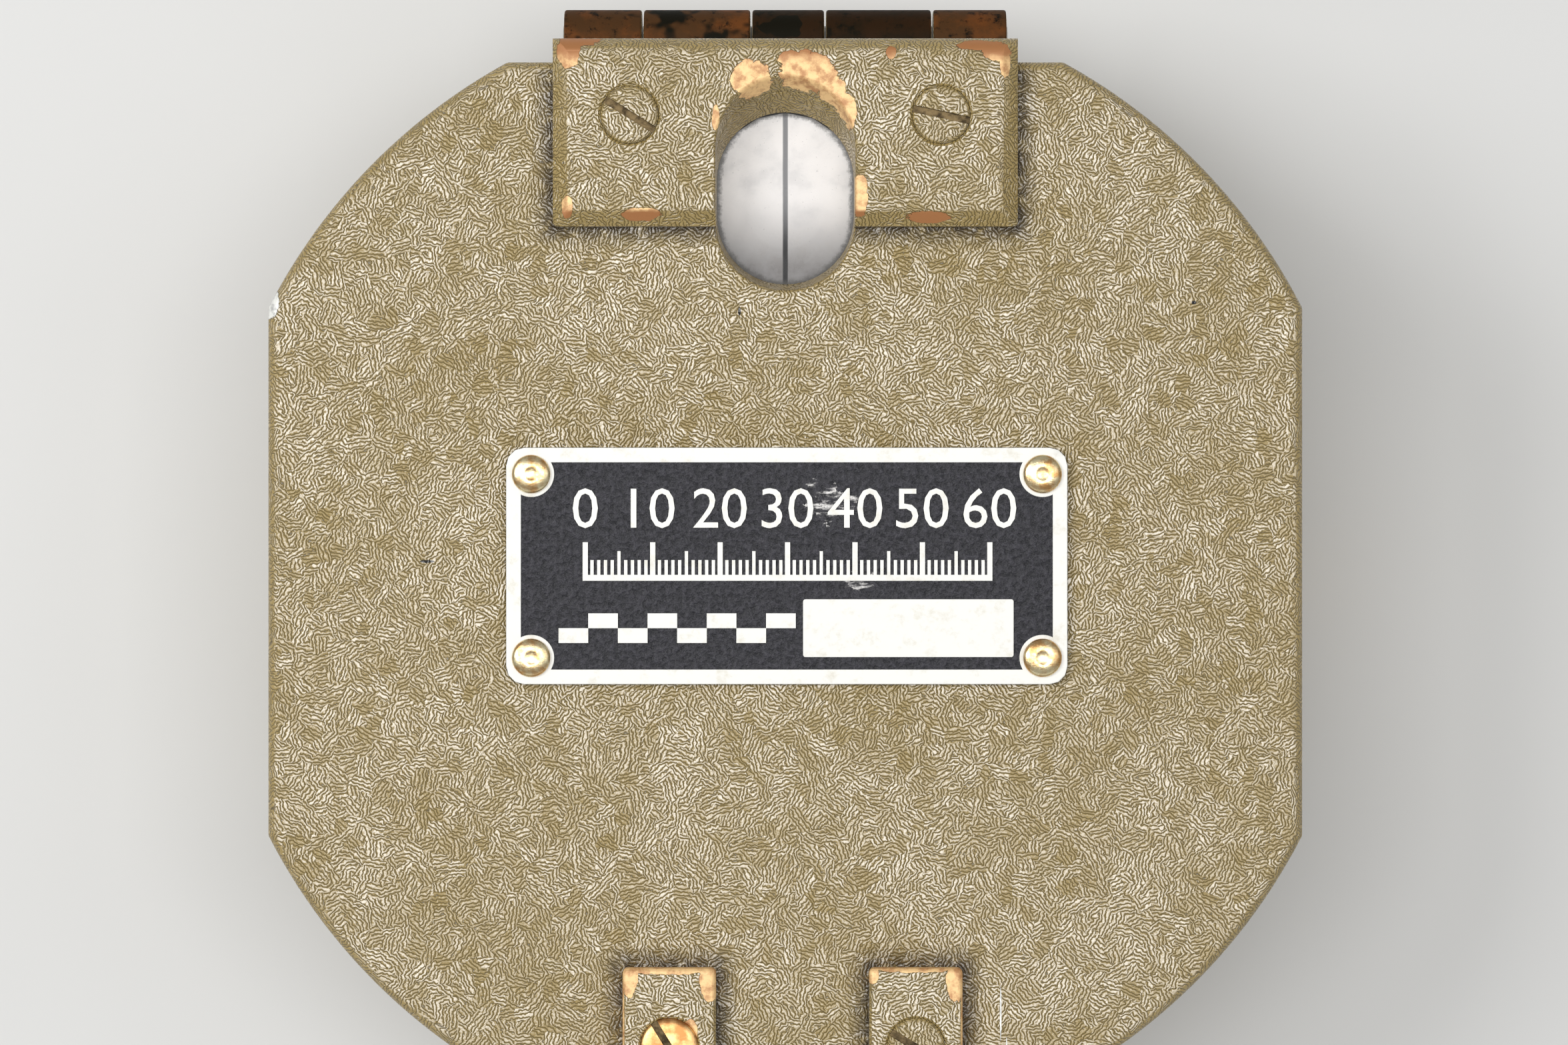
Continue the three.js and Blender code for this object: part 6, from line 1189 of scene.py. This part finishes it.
# Elevation scale
# A silvered brass arc, let into the floor of the bowl, with degrees in black ink on both sides
# of zero for the level arm to read.
ELEVATION_MM = (21, 26.1, 4.25, 4.61, 4.65)
ELEVATION_HALF_DEGREES = 78
ELEVATION_LAST_DEGREE = 75
ELEVATION_LINES_FROM_MM = (22.9, 23.5, 24.0)
ELEVATION_LINES_TO_MM = 25.1
ELEVATION_LINE_WIDTH_MM = 0.12
ELEVATION_DIGIT_MM = 1.0
ELEVATION_DIGITS_AT_MM = 22.1
silver_plate = metal("silver_plate", srgb(226, 226, 221), srgb(194, 193, 186), (0.4, 0.55), 0.7)
silver_plate.set({"Metallic": 0.6})
arc_inner, arc_outer, arc_low, arc_top, ink_top = ELEVATION_MM
turns = [math.radians(-90 + ELEVATION_HALF_DEGREES * k / 36) for k in range(-36, 37)]
arc = [(arc_outer * math.cos(t), arc_outer * math.sin(t)) for t in turns]
arc += [(arc_inner * math.cos(t), arc_inner * math.sin(t)) for t in turns[::-1]]
elevation_plate = skinned([[(x, y, z) for x, y in arc] for z in (arc_low, arc_top)])
piece("elevation_plate", elevation_plate, silver_plate, "body", "scale_silver", "elevation_scale")
ink = clouded("black_ink", (srgb(34, 34, 37), srgb(58, 58, 61)), 3, constants={"Roughness": 0.6})
degrees = range(-ELEVATION_LAST_DEGREE, ELEVATION_LAST_DEGREE + 1)
places = [(degree, math.radians(degree - 90)) for degree in degrees]
marks = radial_lines(places, ELEVATION_LINES_FROM_MM, ELEVATION_LINES_TO_MM, ELEVATION_LINE_WIDTH_MM,
                     arc_top - PRINT_SUNK_MM, ink_top)
for degree in range(-70, 71, 10):
    marks.append(radial_numeral(str(abs(degree)), ELEVATION_DIGIT_MM, math.radians(degree - 90),
                                ELEVATION_DIGITS_AT_MM, arc_top - PRINT_SUNK_MM, ink_top, math.pi / 2))
piece("elevation_divisions", joined(marks), ink, "body", "scale_silver")

# Level arm
# A blackened brass arm that carries the two levels and points at the elevation scale. It turns on
# its shaft with the lever on the back, which a screw and a brass washer hold.
eased("level_arm", 0.12, black_lacquer, "level_arm", "blackened")
eased("actuating_lever", 0.2, black_lacquer, "level_arm", "blackened")

# Tubular level
# A brass tube on the arm, cut open on top round a glass vial of yellow-green spirit. Two lines
# round the vial show where its bubble comes to rest.
TUBE_MM = (2.9, 2.35, 10.5, -10.4, 8.3)
TUBE_WINDOW_MM = (7.5, 0.55)
VIAL_MM = (2.15, 9.9)
TUBE_BUBBLE_MM = (0.75, 2.4, 1.4)
TUBE_LINES_MM = 2.7
SPIRIT = (srgb(214, 226, 96), srgb(196, 212, 84))
BUBBLE = (srgb(246, 248, 214), srgb(232, 238, 190))
tube_radius, tube_bore, tube_half, tube_y, tube_z = TUBE_MM
tube = rod(tube_radius, -tube_half, tube_half, 0.25, tube_y, tube_z, 64)
bore = rod(tube_bore, -tube_half - 1, tube_half + 1, 0.1, tube_y, tube_z, 64)
opening = block(-TUBE_WINDOW_MM[0], TUBE_WINDOW_MM[0], tube_y - 4, tube_y + 4,
                tube_z + TUBE_WINDOW_MM[1], tube_z + 4)
tube = worked("DIFFERENCE", tube, bore, opening)
piece("tubular_level_tube", tube, polished_brass, "level_arm", "bare_brass", "tubular_level_housing")
spirit = clouded("spirit", SPIRIT, 0.3, constants={"Roughness": 0.05, "IOR": 1.4, "Alpha": 0.75})
vial_radius, vial_half = VIAL_MM
vial = rod(vial_radius, -vial_half, vial_half, 0.5, tube_y, tube_z)
piece("tubular_level_spirit", vial, spirit, "level_arm", "level_glass", "tubular_level_vial")
bubble = clouded("bubble", BUBBLE, 0.4, constants={"Roughness": 0.05})


def drop(radius, half, middle):
    """A bubble: an egg shape along Z."""
    turns = [k / 12 * math.pi for k in range(1, 12)]
    return turned([(radius * math.sin(t), middle - half * math.cos(t)) for t in turns], 32)


bubble_radius, bubble_half, bubble_rise = TUBE_BUBBLE_MM
tube_bubble = moved(drop(bubble_radius, bubble_half, 0), 0, tube_y, tube_z + bubble_rise, ALONG_X)
piece("tubular_level_bubble", tube_bubble, bubble, "level_arm", "level_glass", sharp=80)
rings = [moved(flat_ring(vial_radius - 0.02, vial_radius + 0.04, -0.08, 0.08, 48, 0.01),
               x, tube_y, tube_z, ALONG_X) for x in (-TUBE_LINES_MM, TUBE_LINES_MM)]
piece("tubular_level_lines", joined(rings), ink, "level_arm", "level_glass")

# Circular level
# A turned brass cup on the arm, closed by a domed glass over the same spirit, with a round bubble
# and one ring to bring it to.
CUP_MM = ((0.3, 5.75), (3.95, 5.75), (4.1, 5.9), (4.1, 9.0), (3.95, 9.15), (3.7, 9.15), (3.6, 9.05),
          (3.6, 6.75), (0.3, 6.75))
CUP_Y_MM = -17.7
LENS_MM = (3.5, 6.8, 8.55, 0.6)
LENS_BUBBLE_MM = (1.1, 0.3, 8.75)
LENS_RING_MM = (1.5, 1.62, 9.0, 9.12)


def round_piece(name, mesh, finish, slot, *nodes, sharp=32):
    """A piece of the level, drawn about its own axis and set down on the arm."""
    piece(name, moved(mesh, 0, CUP_Y_MM), finish, "level_arm", slot, *nodes, sharp=sharp)


lens_radius, lens_low, lens_edge, lens_rise = LENS_MM
turns = [k / 8 * math.pi / 2.05 for k in range(9)]
dome = [(lens_radius * math.cos(t), lens_edge + lens_rise * math.sin(t)) for t in turns]
round_piece("circular_level_body", turned(CUP_MM, 72, True), polished_brass, "bare_brass",
            "circular_level_cup")
round_piece("circular_level_spirit", turned([(lens_radius, lens_low), *dome], 72), spirit, "level_glass",
            "circular_level_lens")
round_piece("circular_level_bubble", drop(*LENS_BUBBLE_MM), bubble, "level_glass", sharp=80)
round_piece("circular_level_line", flat_ring(*LENS_RING_MM, 64, 0.01), ink, "level_glass")

# Needle
# A bar of blued magnet steel with a whitened north tip, riveted to a turned brass cap. A ruby in
# the cap rides on the steel point.
BLUED = (srgb(64, 81, 133), srgb(38, 48, 85))
NORTH_WHITE = srgb(240, 240, 232)
NORTH_FROM_MM = 16
CAP_MM = ((1.15, 12.6), (2.4, 12.6), (2.5, 12.7), (2.5, 13.0), (2.4, 13.1), (1.65, 13.1), (1.6, 13.15),
          (1.6, 14.25), (1.5, 14.4), (1.15, 14.5), (0.3, 14.5), (0.3, 14.05), (1.15, 14.05))
RUBY = (srgb(240, 34, 74), srgb(176, 21, 53))
blued = metal("blued_steel", *BLUED, (0.2, 0.35), 0.3)
whitened = blued.xyz()[1].between(NORTH_FROM_MM - 0.1, NORTH_FROM_MM + 0.1)
steel_colour = blued.mix(blued.noise(0.3, 3), *BLUED)
blued.set({"Base Color": blued.mix(whitened, steel_colour, NORTH_WHITE), "Metallic": 1 - whitened})
eased("magnetic_needle", 0.06, blued, "needle", "blued_steel")
cap = turned(CAP_MM, 64, True)
piece("needle_cap_turned", cap, polished_brass, "needle_cap", "bare_brass", "jewel_housing")
dress(clouded("ruby", RUBY, 1.5, constants={"Roughness": 0.08, "IOR": 1.76}), "jewel")
